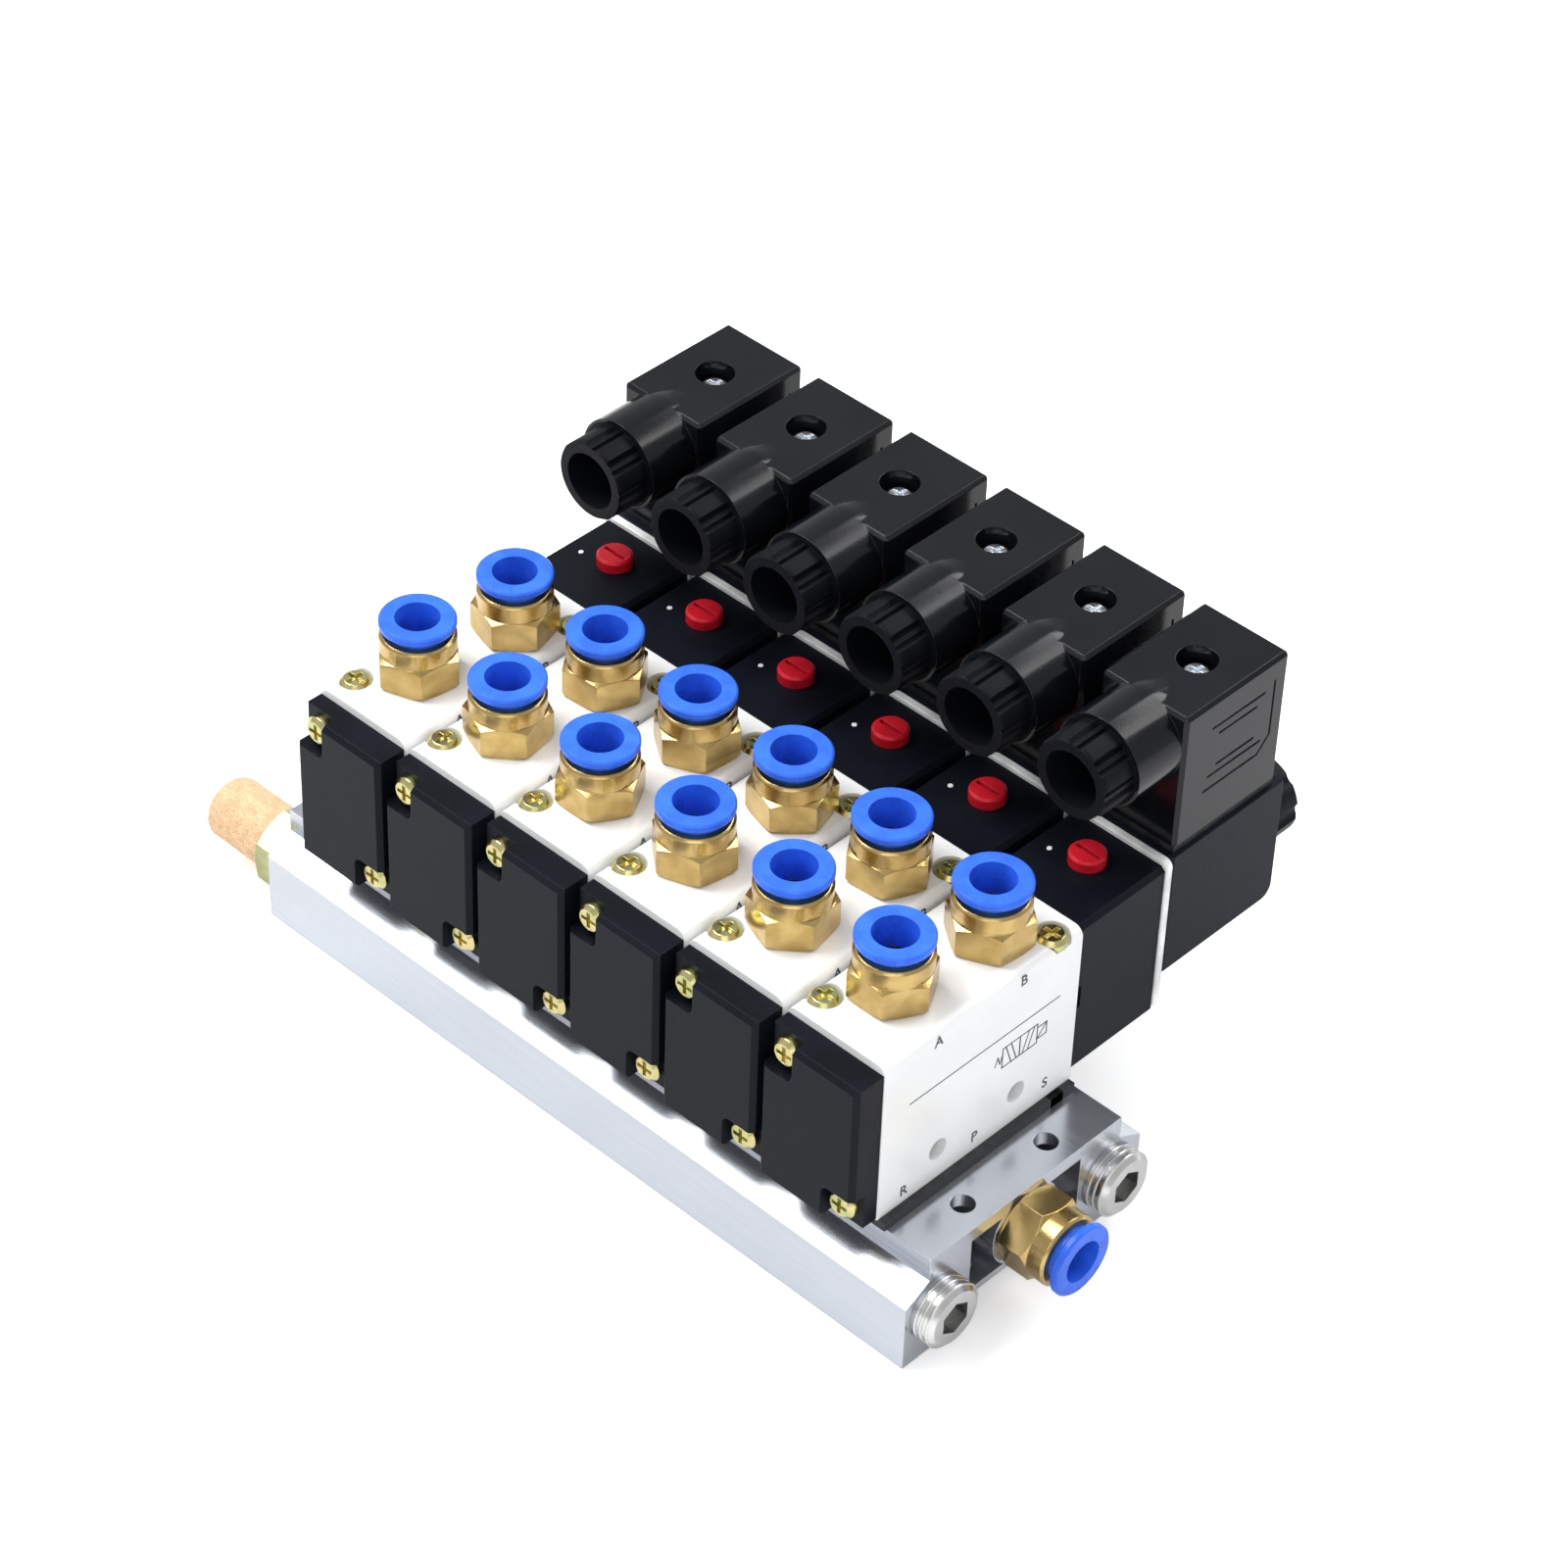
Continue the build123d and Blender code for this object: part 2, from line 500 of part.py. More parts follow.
def coil_nut(x):
    """The fluted nut that holds the coil on its tube."""
    knob = lobed(COIL_NUT_RADIUS, COIL_NUT_LOBES, COIL_NUT_FLUTE_RADIUS, COIL_NUT_FLUTE_DEPTH, COIL_NUT_LENGTH)
    nose = extrude(Circle(COIL_NUT_RADIUS + COIL_NUT_EDGE), COIL_NUT_LENGTH)
    knob &= chamfer(nose.edges().group_by(Axis.Z)[-1], 2 * COIL_NUT_EDGE)
    flange = extrude(Circle(COIL_NUT_FLANGE_RADIUS), -COIL_NUT_FLANGE_LENGTH)
    solid = Rot(-90, 0, 0) * (knob + flange)
    solid = Pos(x, COIL_BACK_Y + COIL_NUT_FLANGE_LENGTH, COIL_Z) * solid
    return solid - rod(x, COIL_Z, COIL_BACK_Y, COIL_BACK_Y + TUBE_THREAD_LENGTH, TUBE_RADIUS)


def connector_gasket(x):
    """The flat gasket between coil and connector."""
    half = CONNECTOR_WIDTH / 2 - CONNECTOR_GASKET_INSET
    low_y = CONNECTOR_FRONT_Y + CONNECTOR_GASKET_INSET
    high_y = CONNECTOR_FRONT_Y + CONNECTOR_LENGTH - CONNECTOR_GASKET_INSET
    solid = block((x - half, low_y, COIL_TOP_Z), (x + half, high_y, CONNECTOR_BOTTOM))
    return solid - post(x, CONNECTOR_SCREW_Y, COIL_TOP_Z, CONNECTOR_BOTTOM, SCREW_PASS_RADIUS)


def connector_side_lines():
    """The thin lines sunk in the connector's side: a bent frame line and two pairs of strokes."""
    back = CONNECTOR_FRONT_Y + CONNECTOR_LENGTH - SIDE_FRAME_FROM_BACK
    front = CONNECTOR_FRONT_Y + SIDE_FRAME_FROM_FRONT
    top = CONNECTOR_TOP - SIDE_FRAME_FROM_TOP
    bottom = top - SIDE_FRAME_HEIGHT
    bend = Polyline((back, top), (back, bottom + SIDE_FRAME_CORNER), (back - SIDE_FRAME_CORNER, bottom), (front, bottom))
    lines = trace(bend, SIDE_LINE_WIDTH)
    middle = (front + back - SIDE_FRAME_CORNER / 2) / 2
    for drop, share in SIDE_STROKES:
        stroke = Rectangle(share * (back - front), SIDE_LINE_WIDTH)
        lines += Pos(middle, CONNECTOR_TOP - drop) * stroke
    return lines


def connector_housing(x):
    """The cable connector's housing with its round cable neck."""
    half = CONNECTOR_WIDTH / 2
    back_y = CONNECTOR_FRONT_Y + CONNECTOR_LENGTH
    solid = block((-half, CONNECTOR_FRONT_Y, CONNECTOR_BOTTOM), (half, back_y, CONNECTOR_TOP))
    upright_edges = solid.edges().filter_by(Axis.Z)
    top_edges = solid.faces().sort_by(Axis.Z)[-1].edges()
    solid = chamfer(upright_edges + top_edges, CONNECTOR_EDGE)
    solid += rod(0, NECK_Z, NECK_FRONT_Y, CONNECTOR_FRONT_Y, NECK_RADIUS)
    fade = Cone(NECK_RADIUS, NECK_BELOW_TOP, NECK_FADE_LENGTH)
    solid += Pos(0, CONNECTOR_FRONT_Y + NECK_FADE_LENGTH / 2, NECK_Z) * Rot(-90, 0, 0) * fade
    bore_end = NECK_FRONT_Y + NECK_BORE_DEPTH
    solid -= rod(0, NECK_Z, NECK_FRONT_Y, NECK_FRONT_Y + NECK_MOUTH_DEPTH, NECK_MOUTH_RADIUS)
    solid -= rod(0, NECK_Z, NECK_FRONT_Y, bore_end, NECK_BORE_RADIUS)
    solid -= rod(0, NECK_Z, bore_end, bore_end + CABLE_ROOM_LENGTH, CABLE_RADIUS_MAX)
    seat = CONNECTOR_TOP - CONNECTOR_SCREW_SINK - PAN_HEAD_HEIGHT
    solid -= post(0, CONNECTOR_SCREW_Y, seat, CONNECTOR_TOP, CONNECTOR_SCREW_POCKET_RADIUS)
    solid -= post(0, CONNECTOR_SCREW_Y, CONNECTOR_BOTTOM, seat, SCREW_PASS_RADIUS)
    side = Plane(origin=(half, 0, 0), x_dir=(0, 1, 0), z_dir=(1, 0, 0))
    solid -= extrude(side * connector_side_lines(), -SIDE_LINE_DEPTH)
    return Pos(x, 0, 0) * solid


def connector_screw(x):
    """The long screw that holds the connector on the coil."""
    seat = CONNECTOR_TOP - CONNECTOR_SCREW_SINK - PAN_HEAD_HEIGHT
    return Pos(x, CONNECTOR_SCREW_Y, seat) * pan_screw(seat - COIL_TOP_Z + CONNECTOR_SCREW_GRIP)


def gland_nut(x):
    """The fluted compression nut in the connector's neck, open for a cable."""
    head = lobed(GLAND_HEAD_RADIUS, GLAND_LOBES, GLAND_FLUTE_RADIUS, GLAND_FLUTE_DEPTH, GLAND_HEAD_LENGTH)
    nose = extrude(Circle(GLAND_HEAD_RADIUS + GLAND_EDGE), GLAND_HEAD_LENGTH)
    head &= chamfer(nose.edges().group_by(Axis.Z)[-1], 2 * GLAND_EDGE)
    rim = extrude(Circle(NECK_MOUTH_RADIUS - RUNNING_CLEARANCE), -NECK_MOUTH_DEPTH)
    sleeve = extrude(Circle(NECK_BORE_RADIUS - RUNNING_CLEARANCE), -GLAND_SLEEVE_LENGTH)
    solid = Pos(x, NECK_FRONT_Y, NECK_Z) * Rot(90, 0, 0) * (head + rim + sleeve)
    front = NECK_FRONT_Y - GLAND_HEAD_LENGTH
    return solid - rod(x, NECK_Z, front, NECK_FRONT_Y + GLAND_SLEEVE_LENGTH, CABLE_RADIUS_MAX)


def fitting_body():
    """A push-in fitting's brass body, its seat at the origin and its mouth upwards."""
    collar = Pos(0, 0, HEX_HEIGHT) * extrude(Circle(COLLAR_RADIUS), COLLAR_HEIGHT)
    collar = chamfer(collar.edges().group_by(Axis.Z)[-1], COLLAR_CHAMFER)
    stub = extrude(Circle(OUTLET_THREAD_RADIUS - FITTING_THREAD_CLEARANCE), -FITTING_THREAD_LENGTH)
    solid = turned_hexagon(HEX_ACROSS_FLATS, HEX_HEIGHT) + collar + stub
    seat = COLLAR_TOP - RING_SEAT_DEPTH - RING_TRAVEL
    solid -= post(0, 0, seat, COLLAR_TOP, RING_STEM_RADIUS + RUNNING_CLEARANCE)
    solid -= post(0, 0, COLLAR_TOP - TUBE_STOP_DEPTH, seat, TUBE_SOCKET_RADIUS)
    return solid - post(0, 0, -FITTING_THREAD_LENGTH, COLLAR_TOP, FITTING_BORE_RADIUS)


def release_ring():
    """A release ring at rest, in the same frame as its fitting body."""
    flange_low = COLLAR_TOP + RING_GAP
    solid = post(0, 0, flange_low, flange_low + RING_FLANGE_THICKNESS, RING_FLANGE_RADIUS)
    solid = chamfer(solid.edges(), RING_EDGE)
    solid += post(0, 0, flange_low - RING_STEM_LENGTH, flange_low, RING_STEM_RADIUS)
    top = flange_low + RING_FLANGE_THICKNESS
    return solid - post(0, 0, flange_low - RING_STEM_LENGTH, top, TUBE_SOCKET_RADIUS)


def fitting_places():
    """Where each fitting stands: its name, its place and the turn of its hexagon."""
    places = []
    for number, x in enumerate(STATION_X, start=1):
        turn = 20 * number
        front = Pos(x - OUTLET_X, -OUTLET_Y, BODY_TOP) * Rot(0, 0, turn)
        back = Pos(x + OUTLET_X, OUTLET_Y, BODY_TOP) * Rot(0, 0, turn + 25)
        places.append((f"a{number}", front))
        places.append((f"b{number}", back))
    places.append(("supply", Pos(END_X, 0, SUPPLY_Z) * Rot(0, 90, 0) * Rot(0, 0, 20)))
    return places


def port_plug():
    """A threaded plug with a hexagon socket, its seat plane at the origin and its face upwards."""
    radius = GALLERY_RADIUS - THREAD_CLEARANCE
    solid = post(0, 0, PLUG_STANDS_OUT - PLUG_LENGTH, PLUG_STANDS_OUT, radius)
    solid = chamfer(solid.edges().group_by(Axis.Z)[-1], PLUG_CHAMFER)
    socket = upright(PLUG_SOCKET_ACROSS_FLATS, PLUG_SOCKET_DEPTH)
    return solid - Pos(0, 0, PLUG_STANDS_OUT - PLUG_SOCKET_DEPTH) * socket


def silencer():
    """A silencer: threaded hexagon base and sintered bronze cup, seat at the origin, pointing up."""
    solid = turned_hexagon(HEX_ACROSS_FLATS, SILENCER_HEX_LENGTH)
    top = SILENCER_HEX_LENGTH + SILENCER_LENGTH
    cup = post(0, 0, SILENCER_HEX_LENGTH, top, SILENCER_RADIUS)
    solid += fillet(cup.edges().group_by(Axis.Z)[-1], SILENCER_END_RADIUS)
    return solid + extrude(Circle(GALLERY_RADIUS - THREAD_CLEARANCE), -SILENCER_THREAD_LENGTH)


def port_plugs():
    """The plugs in both exhaust galleries at the supply end, and in the supply at the other end."""
    plug = port_plug()
    solids = [Pos(END_X, side * EXHAUST_Y, EXHAUST_Z) * Rot(0, 90, 0) * plug for side in (-1, 1)]
    return solids + [Pos(-END_X, 0, SUPPLY_Z) * Rot(0, -90, 0) * plug]


def silencers():
    """The two exhaust silencers."""
    part = silencer()
    return [Pos(-END_X, side * EXHAUST_Y, EXHAUST_Z) * Rot(0, -90, 0) * part for side in (-1, 1)]


def write(name, solids):
    """Writes one node: a single solid, or a group of separate like solids."""
    shapes = solids if isinstance(solids, list) else [solids]
    parts = [solid for shape in shapes for solid in shape.solids()]
    export_step(parts[0] if len(parts) == 1 else Compound(children=parts), f"parts/{name}.step")


def main():
    os.makedirs("parts", exist_ok=True)
    write("manifold", manifold())
    write("base_gaskets", [base_gasket(x) for x in STATION_X])
    write("end_caps", [end_cap(x) for x in STATION_X])
    write("cap_screws", [screw for x in STATION_X for screw in cap_screws(x)])
    write("valve_screws", [screw for x in STATION_X for screw in valve_screws(x)])
    write("pilot_housings", [pilot_housing(x) for x in STATION_X])
    write("pilot_plates", [pilot_plate(x) for x in STATION_X])
    write("core_tubes", [core_tube(x) for x in STATION_X])
    write("coils", [coil(x) for x in STATION_X])
    write("coil_nuts", [coil_nut(x) for x in STATION_X])
    write("connector_gaskets", [connector_gasket(x) for x in STATION_X])
    write("connector_housings", [connector_housing(x) for x in STATION_X])
    write("connector_screws", [connector_screw(x) for x in STATION_X])
    write("gland_nuts", [gland_nut(x) for x in STATION_X])
    write("port_plugs", port_plugs())
    write("silencers", silencers())
    for number, x in enumerate(STATION_X, start=1):
        write(f"valve_body_{number}", valve_body(x))
        write(f"spool_{number}", spool(x))
        write(f"armature_{number}", armature(x))
        write(f"override_button_{number}", override_button(x))
        write(f"override_pin_{number}", override_pin(x))
    body = fitting_body()
    ring = release_ring()
    write("fitting_bodies", [place * body for name, place in fitting_places()])
    for name, place in fitting_places():
        write(f"release_ring_{name}", place * ring)


main()
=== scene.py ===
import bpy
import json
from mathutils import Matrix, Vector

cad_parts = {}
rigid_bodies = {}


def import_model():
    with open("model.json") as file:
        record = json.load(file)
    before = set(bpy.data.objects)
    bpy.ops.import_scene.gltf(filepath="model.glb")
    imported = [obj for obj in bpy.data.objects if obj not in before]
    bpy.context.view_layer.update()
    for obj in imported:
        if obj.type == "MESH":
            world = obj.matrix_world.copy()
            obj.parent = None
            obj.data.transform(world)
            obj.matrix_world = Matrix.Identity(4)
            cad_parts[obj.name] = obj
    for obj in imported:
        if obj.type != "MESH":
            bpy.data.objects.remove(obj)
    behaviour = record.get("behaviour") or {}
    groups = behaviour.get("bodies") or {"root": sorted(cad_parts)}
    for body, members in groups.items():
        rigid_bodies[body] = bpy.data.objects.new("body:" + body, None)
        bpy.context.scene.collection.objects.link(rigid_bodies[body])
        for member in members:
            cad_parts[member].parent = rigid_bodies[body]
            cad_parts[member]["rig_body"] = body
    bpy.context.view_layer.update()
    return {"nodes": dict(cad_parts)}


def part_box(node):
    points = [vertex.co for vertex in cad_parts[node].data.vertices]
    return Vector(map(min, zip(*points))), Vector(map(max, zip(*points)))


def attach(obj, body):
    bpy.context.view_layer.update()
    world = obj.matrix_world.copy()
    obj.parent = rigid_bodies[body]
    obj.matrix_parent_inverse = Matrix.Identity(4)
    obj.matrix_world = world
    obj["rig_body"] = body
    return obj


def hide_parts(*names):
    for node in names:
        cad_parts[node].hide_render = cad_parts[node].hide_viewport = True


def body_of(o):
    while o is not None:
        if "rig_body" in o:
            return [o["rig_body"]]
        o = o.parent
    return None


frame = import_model()

import json
import math

import bmesh
import bpy
from bpy.props import FloatProperty, FloatVectorProperty, IntProperty, PointerProperty
from mathutils import Matrix, Vector

bl_info = {
    "name": "Valve island dressing",
    "version": (1, 0, 0),
    "blender": (4, 5, 0),
    "location": "3D View > Sidebar > Valve island",
    "description": "Dresses the packed valve island with rounded castings, mouldings, threads and finishes",
    "category": "Object",
}

MM = 0.001
ROOT = "island"
STATIONS = 6


# ---------------------------------------------------------------- sizes and colours


def length(name, description, default):
    """A length property, in metres."""
    return FloatProperty(
        name=name, description=description, default=default, min=0.0, unit="LENGTH", precision=5
    )


def colour(name, description, default):
    """A colour property."""
    return FloatVectorProperty(
        name=name, description=description, default=default, subtype="COLOR", min=0.0, max=1.0
    )


class ValveIslandEdges(bpy.types.PropertyGroup):
    """How far the edges of the castings and mouldings are rounded."""

    casting: length("Casting edge", "Edge radius of the painted valve bodies", 0.0007)
    moulding: length("Moulding edge", "Edge radius of the black mouldings", 0.00045)
    extrusion: length("Extrusion edge", "Edge radius of the manifold", 0.0003)
    turned: length("Turned edge", "Edge radius of brass and nickel turned parts", 0.00025)
    shading: length("Shaded edge", "Radius that the finishes add to every other edge", 0.00022)


class ValveIslandColours(bpy.types.PropertyGroup):
    """Base colours of the finishes."""

    enamel: colour("Enamel", "Painted valve bodies", (0.84, 0.85, 0.85))
    black: colour("Black moulding", "Caps and pilot housings", (0.0036, 0.0050, 0.0085))
    connector: colour("Connector", "Cable connectors and gland nuts", (0.0034, 0.0040, 0.0058))
    coil: colour("Coil", "Coil mouldings", (0.0070, 0.0098, 0.0150))
    aluminium: colour("Aluminium", "Manifold extrusion", (0.56, 0.59, 0.64))
    brass: colour("Brass", "Push-in fitting bodies", (0.56, 0.40, 0.16))
    blue: colour("Release ring", "Blue release rings", (0.030, 0.140, 0.80))
    red: colour("Override", "Red override buttons", (0.50, 0.008, 0.020))
    yellow_zinc: colour("Yellow zinc", "Cap and valve screws", (0.68, 0.58, 0.27))
    bright_zinc: colour("Bright zinc", "Connector screws", (0.80, 0.82, 0.84))
    nickel: colour("Nickel", "Port plugs", (0.66, 0.66, 0.65))
    bronze: colour("Sintered bronze", "Silencer cups", (0.78, 0.52, 0.30))
    ink: colour("Print", "Port letters and flow symbol", (0.055, 0.06, 0.075))


class ValveIslandThread(bpy.types.PropertyGroup):
    """The visible thread turns of the port plugs."""

    turns: IntProperty(name="Turns", description="Thread turns clear of the port", default=3, min=1)
    pitch: length("Pitch", "Distance between turns", 0.001337)
    depth: length("Depth", "Height of a turn above the root", 0.00028)


class ValveIslandStage(bpy.types.PropertyGroup):
    """Floor, lamps and camera."""

    floor: length("Floor size", "Side of the square floor", 6.0)
    key: FloatProperty(name="Key lamp", description="Power of the key lamp", default=15.5, unit="POWER")
    fill: FloatProperty(name="Fill lamp", description="Power of the fill lamp", default=3.6, unit="POWER")
    rim: FloatProperty(name="Rim lamp", description="Power of the rim lamp", default=8.0, unit="POWER")
    sky: FloatProperty(name="Sky", description="Strength of the world light on the object", default=0.62)


# ---------------------------------------------------------------- shader helpers


class Value:
    """A shader value. Arithmetic on it adds Math nodes to its paint."""

    def __init__(self, paint, socket):
        self.paint = paint
        self.socket = socket

    def math(self, operation, *others, swap=False, clamp=False):
        node = self.paint.add("ShaderNodeMath", {"operation": operation, "use_clamp": clamp})
        values = [self, *others]
        if swap:
            values.reverse()
        for slot_number, value in enumerate(values):
            self.paint.feed(node.inputs[slot_number], value)
        return Value(self.paint, node.outputs[0])

    def __add__(self, other):
        return self.math("ADD", other)

    __radd__ = __add__

    def __sub__(self, other):
        return self.math("SUBTRACT", other)

    def __rsub__(self, other):
        return self.math("SUBTRACT", other, swap=True)

    def __mul__(self, other):
        return self.math("MULTIPLY", other)

    __rmul__ = __mul__

    def clamped(self):
        return self.math("ADD", 0.0, clamp=True)

    def step(self, low, high):
        """0 below low, 1 above high, smooth between."""
        inputs = {0: self, 1: low, 2: high}
        node = self.paint.add("ShaderNodeMapRange", {"interpolation_type": "SMOOTHSTEP"}, inputs)
        return Value(self.paint, node.outputs[0])


class Paint:
    """A material under construction."""

    def __init__(self, name):
        self.material = bpy.data.materials.new(name)
        self.material.use_nodes = True
        self.tree = self.material.node_tree
        self.shader = self.tree.nodes["Principled BSDF"]

    def feed(self, socket, value):
        if isinstance(value, Value):
            value = value.socket
        if isinstance(value, bpy.types.NodeSocket):
            self.tree.links.new(value, socket)
        elif socket.type == "RGBA" and len(value) == 3:
            socket.default_value = (*value, 1.0)
        else:
            socket.default_value = value

    def add(self, kind, settings=None, inputs=None):
        node = self.tree.nodes.new(kind)
        for key, value in (settings or {}).items():
            setattr(node, key, value)
        for key, value in (inputs or {}).items():
            self.feed(node.inputs[key], value)
        return node

    def place(self, stretch=(1.0, 1.0, 1.0)):
        """Object coordinates in metres, stretched for a grain that has a direction."""
        coordinates = self.add("ShaderNodeTexCoord").outputs["Object"]
        if tuple(stretch) == (1.0, 1.0, 1.0):
            return coordinates
        return self.add("ShaderNodeMapping", {}, {"Vector": coordinates, "Scale": stretch}).outputs[0]

    def noise(self, scale, detail=3.0, rough=0.5, stretch=(1.0, 1.0, 1.0)):
        inputs = {"Vector": self.place(stretch), "Scale": scale, "Detail": detail, "Roughness": rough}
        return Value(self, self.add("ShaderNodeTexNoise", {}, inputs).outputs["Fac"])

    def cells(self, scale):
        inputs = {"Vector": self.place(), "Scale": scale}
        return Value(self, self.add("ShaderNodeTexVoronoi", {"feature": "F1"}, inputs).outputs["Distance"])

    def rounded_normal(self, radius):
        return self.add("ShaderNodeBevel", {"samples": 4}, {"Radius": radius}).outputs[0]

    def edge_mask(self, radius):
        """0 on flat faces, rising towards 1 on convex and concave edges."""
        soft = self.rounded_normal(radius)
        true_normal = self.add("ShaderNodeNewGeometry").outputs["Normal"]
        dot = self.add("ShaderNodeVectorMath", {"operation": "DOT_PRODUCT"}, {0: soft, 1: true_normal})
        return 1.0 - Value(self, dot.outputs["Value"])

    def mix(self, factor, first, second):
        node = self.add("ShaderNodeMix", {"data_type": "RGBA"})
        self.feed(node.inputs[0], factor)
        self.feed(node.inputs[6], first)
        self.feed(node.inputs[7], second)
        return node.outputs[2]

    def bump(self, height, depth, edge):
        """Feeds the normal: rounded edges with a relief of that depth, in metres."""
        inputs = {"Height": height, "Distance": depth, "Strength": 1.0, "Normal": self.rounded_normal(edge)}
        self.feed(self.shader.inputs["Normal"], self.add("ShaderNodeBump", {}, inputs).outputs[0])

    def set(self, **values):
        for key, value in values.items():
            self.feed(self.shader.inputs[key.replace("_", " ")], value)
        return self


def shade(base, factor):
    """A colour made lighter or darker."""
    return tuple(min(1.0, channel * factor) for channel in base[:3])


def enamel(name, base, edge):
    """Sprayed enamel: faint orange peel, slight tone changes and thin dust marks scattered at random."""
    paint = Paint(name)
    peel = paint.noise(900.0, 2.0)
    tone = paint.noise(45.0, 4.0)
    marks = paint.noise(260.0, 6.0, 0.7).step(0.66, 0.74)
    colour_now = paint.mix(tone.step(0.35, 0.65), shade(base, 0.965), shade(base, 1.02))
    colour_now = paint.mix(marks * 0.18, colour_now, shade(base, 0.80))
    paint.bump(peel, 0.00004, edge)
    paint.set(Base_Color=colour_now, Roughness=0.30 + (tone - 0.5) * 0.12 + marks * 0.1, Coat_Weight=0.25)
    return paint.material


def moulding(name, base, edge, roughness=0.42, grain=2600.0, grain_depth=0.000035, gloss=0.10):
    """Black moulded plastic: spark-eroded grain, edges made paler as rubbing wear and as a painted edge
    highlight, and a few dust specks.
    """
    paint = Paint(name)
    grain_height = paint.noise(grain, 3.0, 0.6)
    tone = paint.noise(70.0, 4.0)
    # Paler edges: partly rubbing wear, partly a painted highlight where light catches the edges.
    rubbed_and_highlit = (paint.edge_mask(0.00035) * 6.0).clamped() * paint.noise(420.0, 4.0).step(0.42, 0.62)
    dust = paint.noise(1500.0, 2.0).step(0.73, 0.78)
    colour_now = paint.mix(tone.step(0.3, 0.7), shade(base, 0.82), shade(base, 1.25))
    colour_now = paint.mix(rubbed_and_highlit * 0.35, colour_now, shade(base, 5.0))
    colour_now = paint.mix(dust * 0.02, colour_now, (0.30, 0.31, 0.33))
    paint.bump(grain_height, grain_depth, edge)
    worn = roughness + (tone - 0.5) * 0.16 + (grain_height - 0.5) * 0.10 - rubbed_and_highlit * 0.06
    paint.set(Base_Color=colour_now, Roughness=worn, Specular_IOR_Level=gloss)
    return paint.material


def extrusion(name, base, edge):
    """Drawn and lightly anodised aluminium: long die lines along X and small handling marks."""
    paint = Paint(name)
    lines = paint.noise(1400.0, 3.0, 0.6, (0.012, 1.0, 1.0))
    broad = paint.noise(60.0, 4.0)
    nicks = paint.noise(700.0, 5.0, 0.75).step(0.70, 0.76)
    colour_now = paint.mix(lines.step(0.3, 0.7), shade(base, 0.965), shade(base, 1.035))
    colour_now = paint.mix(broad.step(0.35, 0.7) * 0.4, colour_now, shade(base, 0.92))
    colour_now = paint.mix(nicks * 0.25, colour_now, shade(base, 0.6))
    paint.bump(lines + nicks * -0.6, 0.000008, edge)
    drawn = 0.22 + (broad - 0.5) * 0.16 + (lines - 0.5) * 0.12
    paint.set(Base_Color=colour_now, Metallic=0.90, Roughness=drawn)
    return paint.material


def plated(name, base, edge, roughness=0.26, tint=None, tint_share=0.5):
    """Plated or turned metal: fine lathe marks, soft tint changes and dull spots."""
    paint = Paint(name)
    marks = paint.noise(3200.0, 2.0)
    broad = paint.noise(230.0, 4.0)
    spots = paint.noise(900.0, 5.0, 0.7).step(0.66, 0.74)
    colour_now = paint.mix(broad.step(0.35, 0.68) * tint_share, base[:3], tint or shade(base, 0.8))
    colour_now = paint.mix(spots * 0.3, colour_now, shade(base, 0.55))
    paint.bump(marks, 0.000015, edge)
    paint.set(Base_Color=colour_now, Metallic=1.0, Roughness=roughness + (broad - 0.5) * 0.18 + spots * 0.15)
    return paint.material


def sintered(name, base, edge):
    """Sintered bronze: bright fused grains, with the pores between them painted dark as shade."""
    paint = Paint(name)
    grains = paint.cells(3300.0)
    # Darker pore cells: painted shade in the hollows between the grains.
    shaded_pores = grains.step(0.42, 0.72)
    broad = paint.noise(500.0, 3.0)
    colour_now = paint.mix(broad.step(0.3, 0.7), shade(base, 0.88), shade(base, 1.12))
    colour_now = paint.mix(shaded_pores * 0.5, colour_now, shade(base, 0.5))
    paint.bump(1.0 - grains, 0.00016, edge)
    paint.set(Base_Color=colour_now, Metallic=0.15, Roughness=0.62 + shaded_pores * 0.2)
    return paint.material


def glossy_plastic(name, base, edge, roughness=0.28):
    """Plain coloured moulding with a soft flow pattern."""
    paint = Paint(name)
    flow = paint.noise(240.0, 4.0)
    fine = paint.noise(2400.0, 2.0)
    colour_now = paint.mix(flow.step(0.3, 0.7), shade(base, 0.84), shade(base, 1.12))
    paint.bump(fine, 0.00002, edge)
    paint.set(Base_Color=colour_now, Roughness=roughness + (flow - 0.5) * 0.14, Specular_IOR_Level=0.28)
    return paint.material


def rubber(name, edge):
    """Moulded gasket rubber with bloom."""
    paint = Paint(name)
    bloom = paint.noise(320.0, 5.0, 0.65)
    fine = paint.noise(2200.0, 3.0)
    colour_now = paint.mix(bloom.step(0.4, 0.75), (0.010, 0.010, 0.012), (0.034, 0.035, 0.038))
    paint.bump(fine, 0.00005, edge)
    paint.set(Base_Color=colour_now, Roughness=0.62 + (bloom - 0.5) * 0.2)
    return paint.material


def ink(name, base):
    """Screen print, worn a little thin."""
    paint = Paint(name)
    wear = paint.noise(1800.0, 4.0).step(0.58, 0.70)
    paint.set(Base_Color=paint.mix(wear * 0.35, base[:3], (0.45, 0.47, 0.50)), Roughness=0.5 + wear * 0.2)
    return paint.material


FINISHES = {}


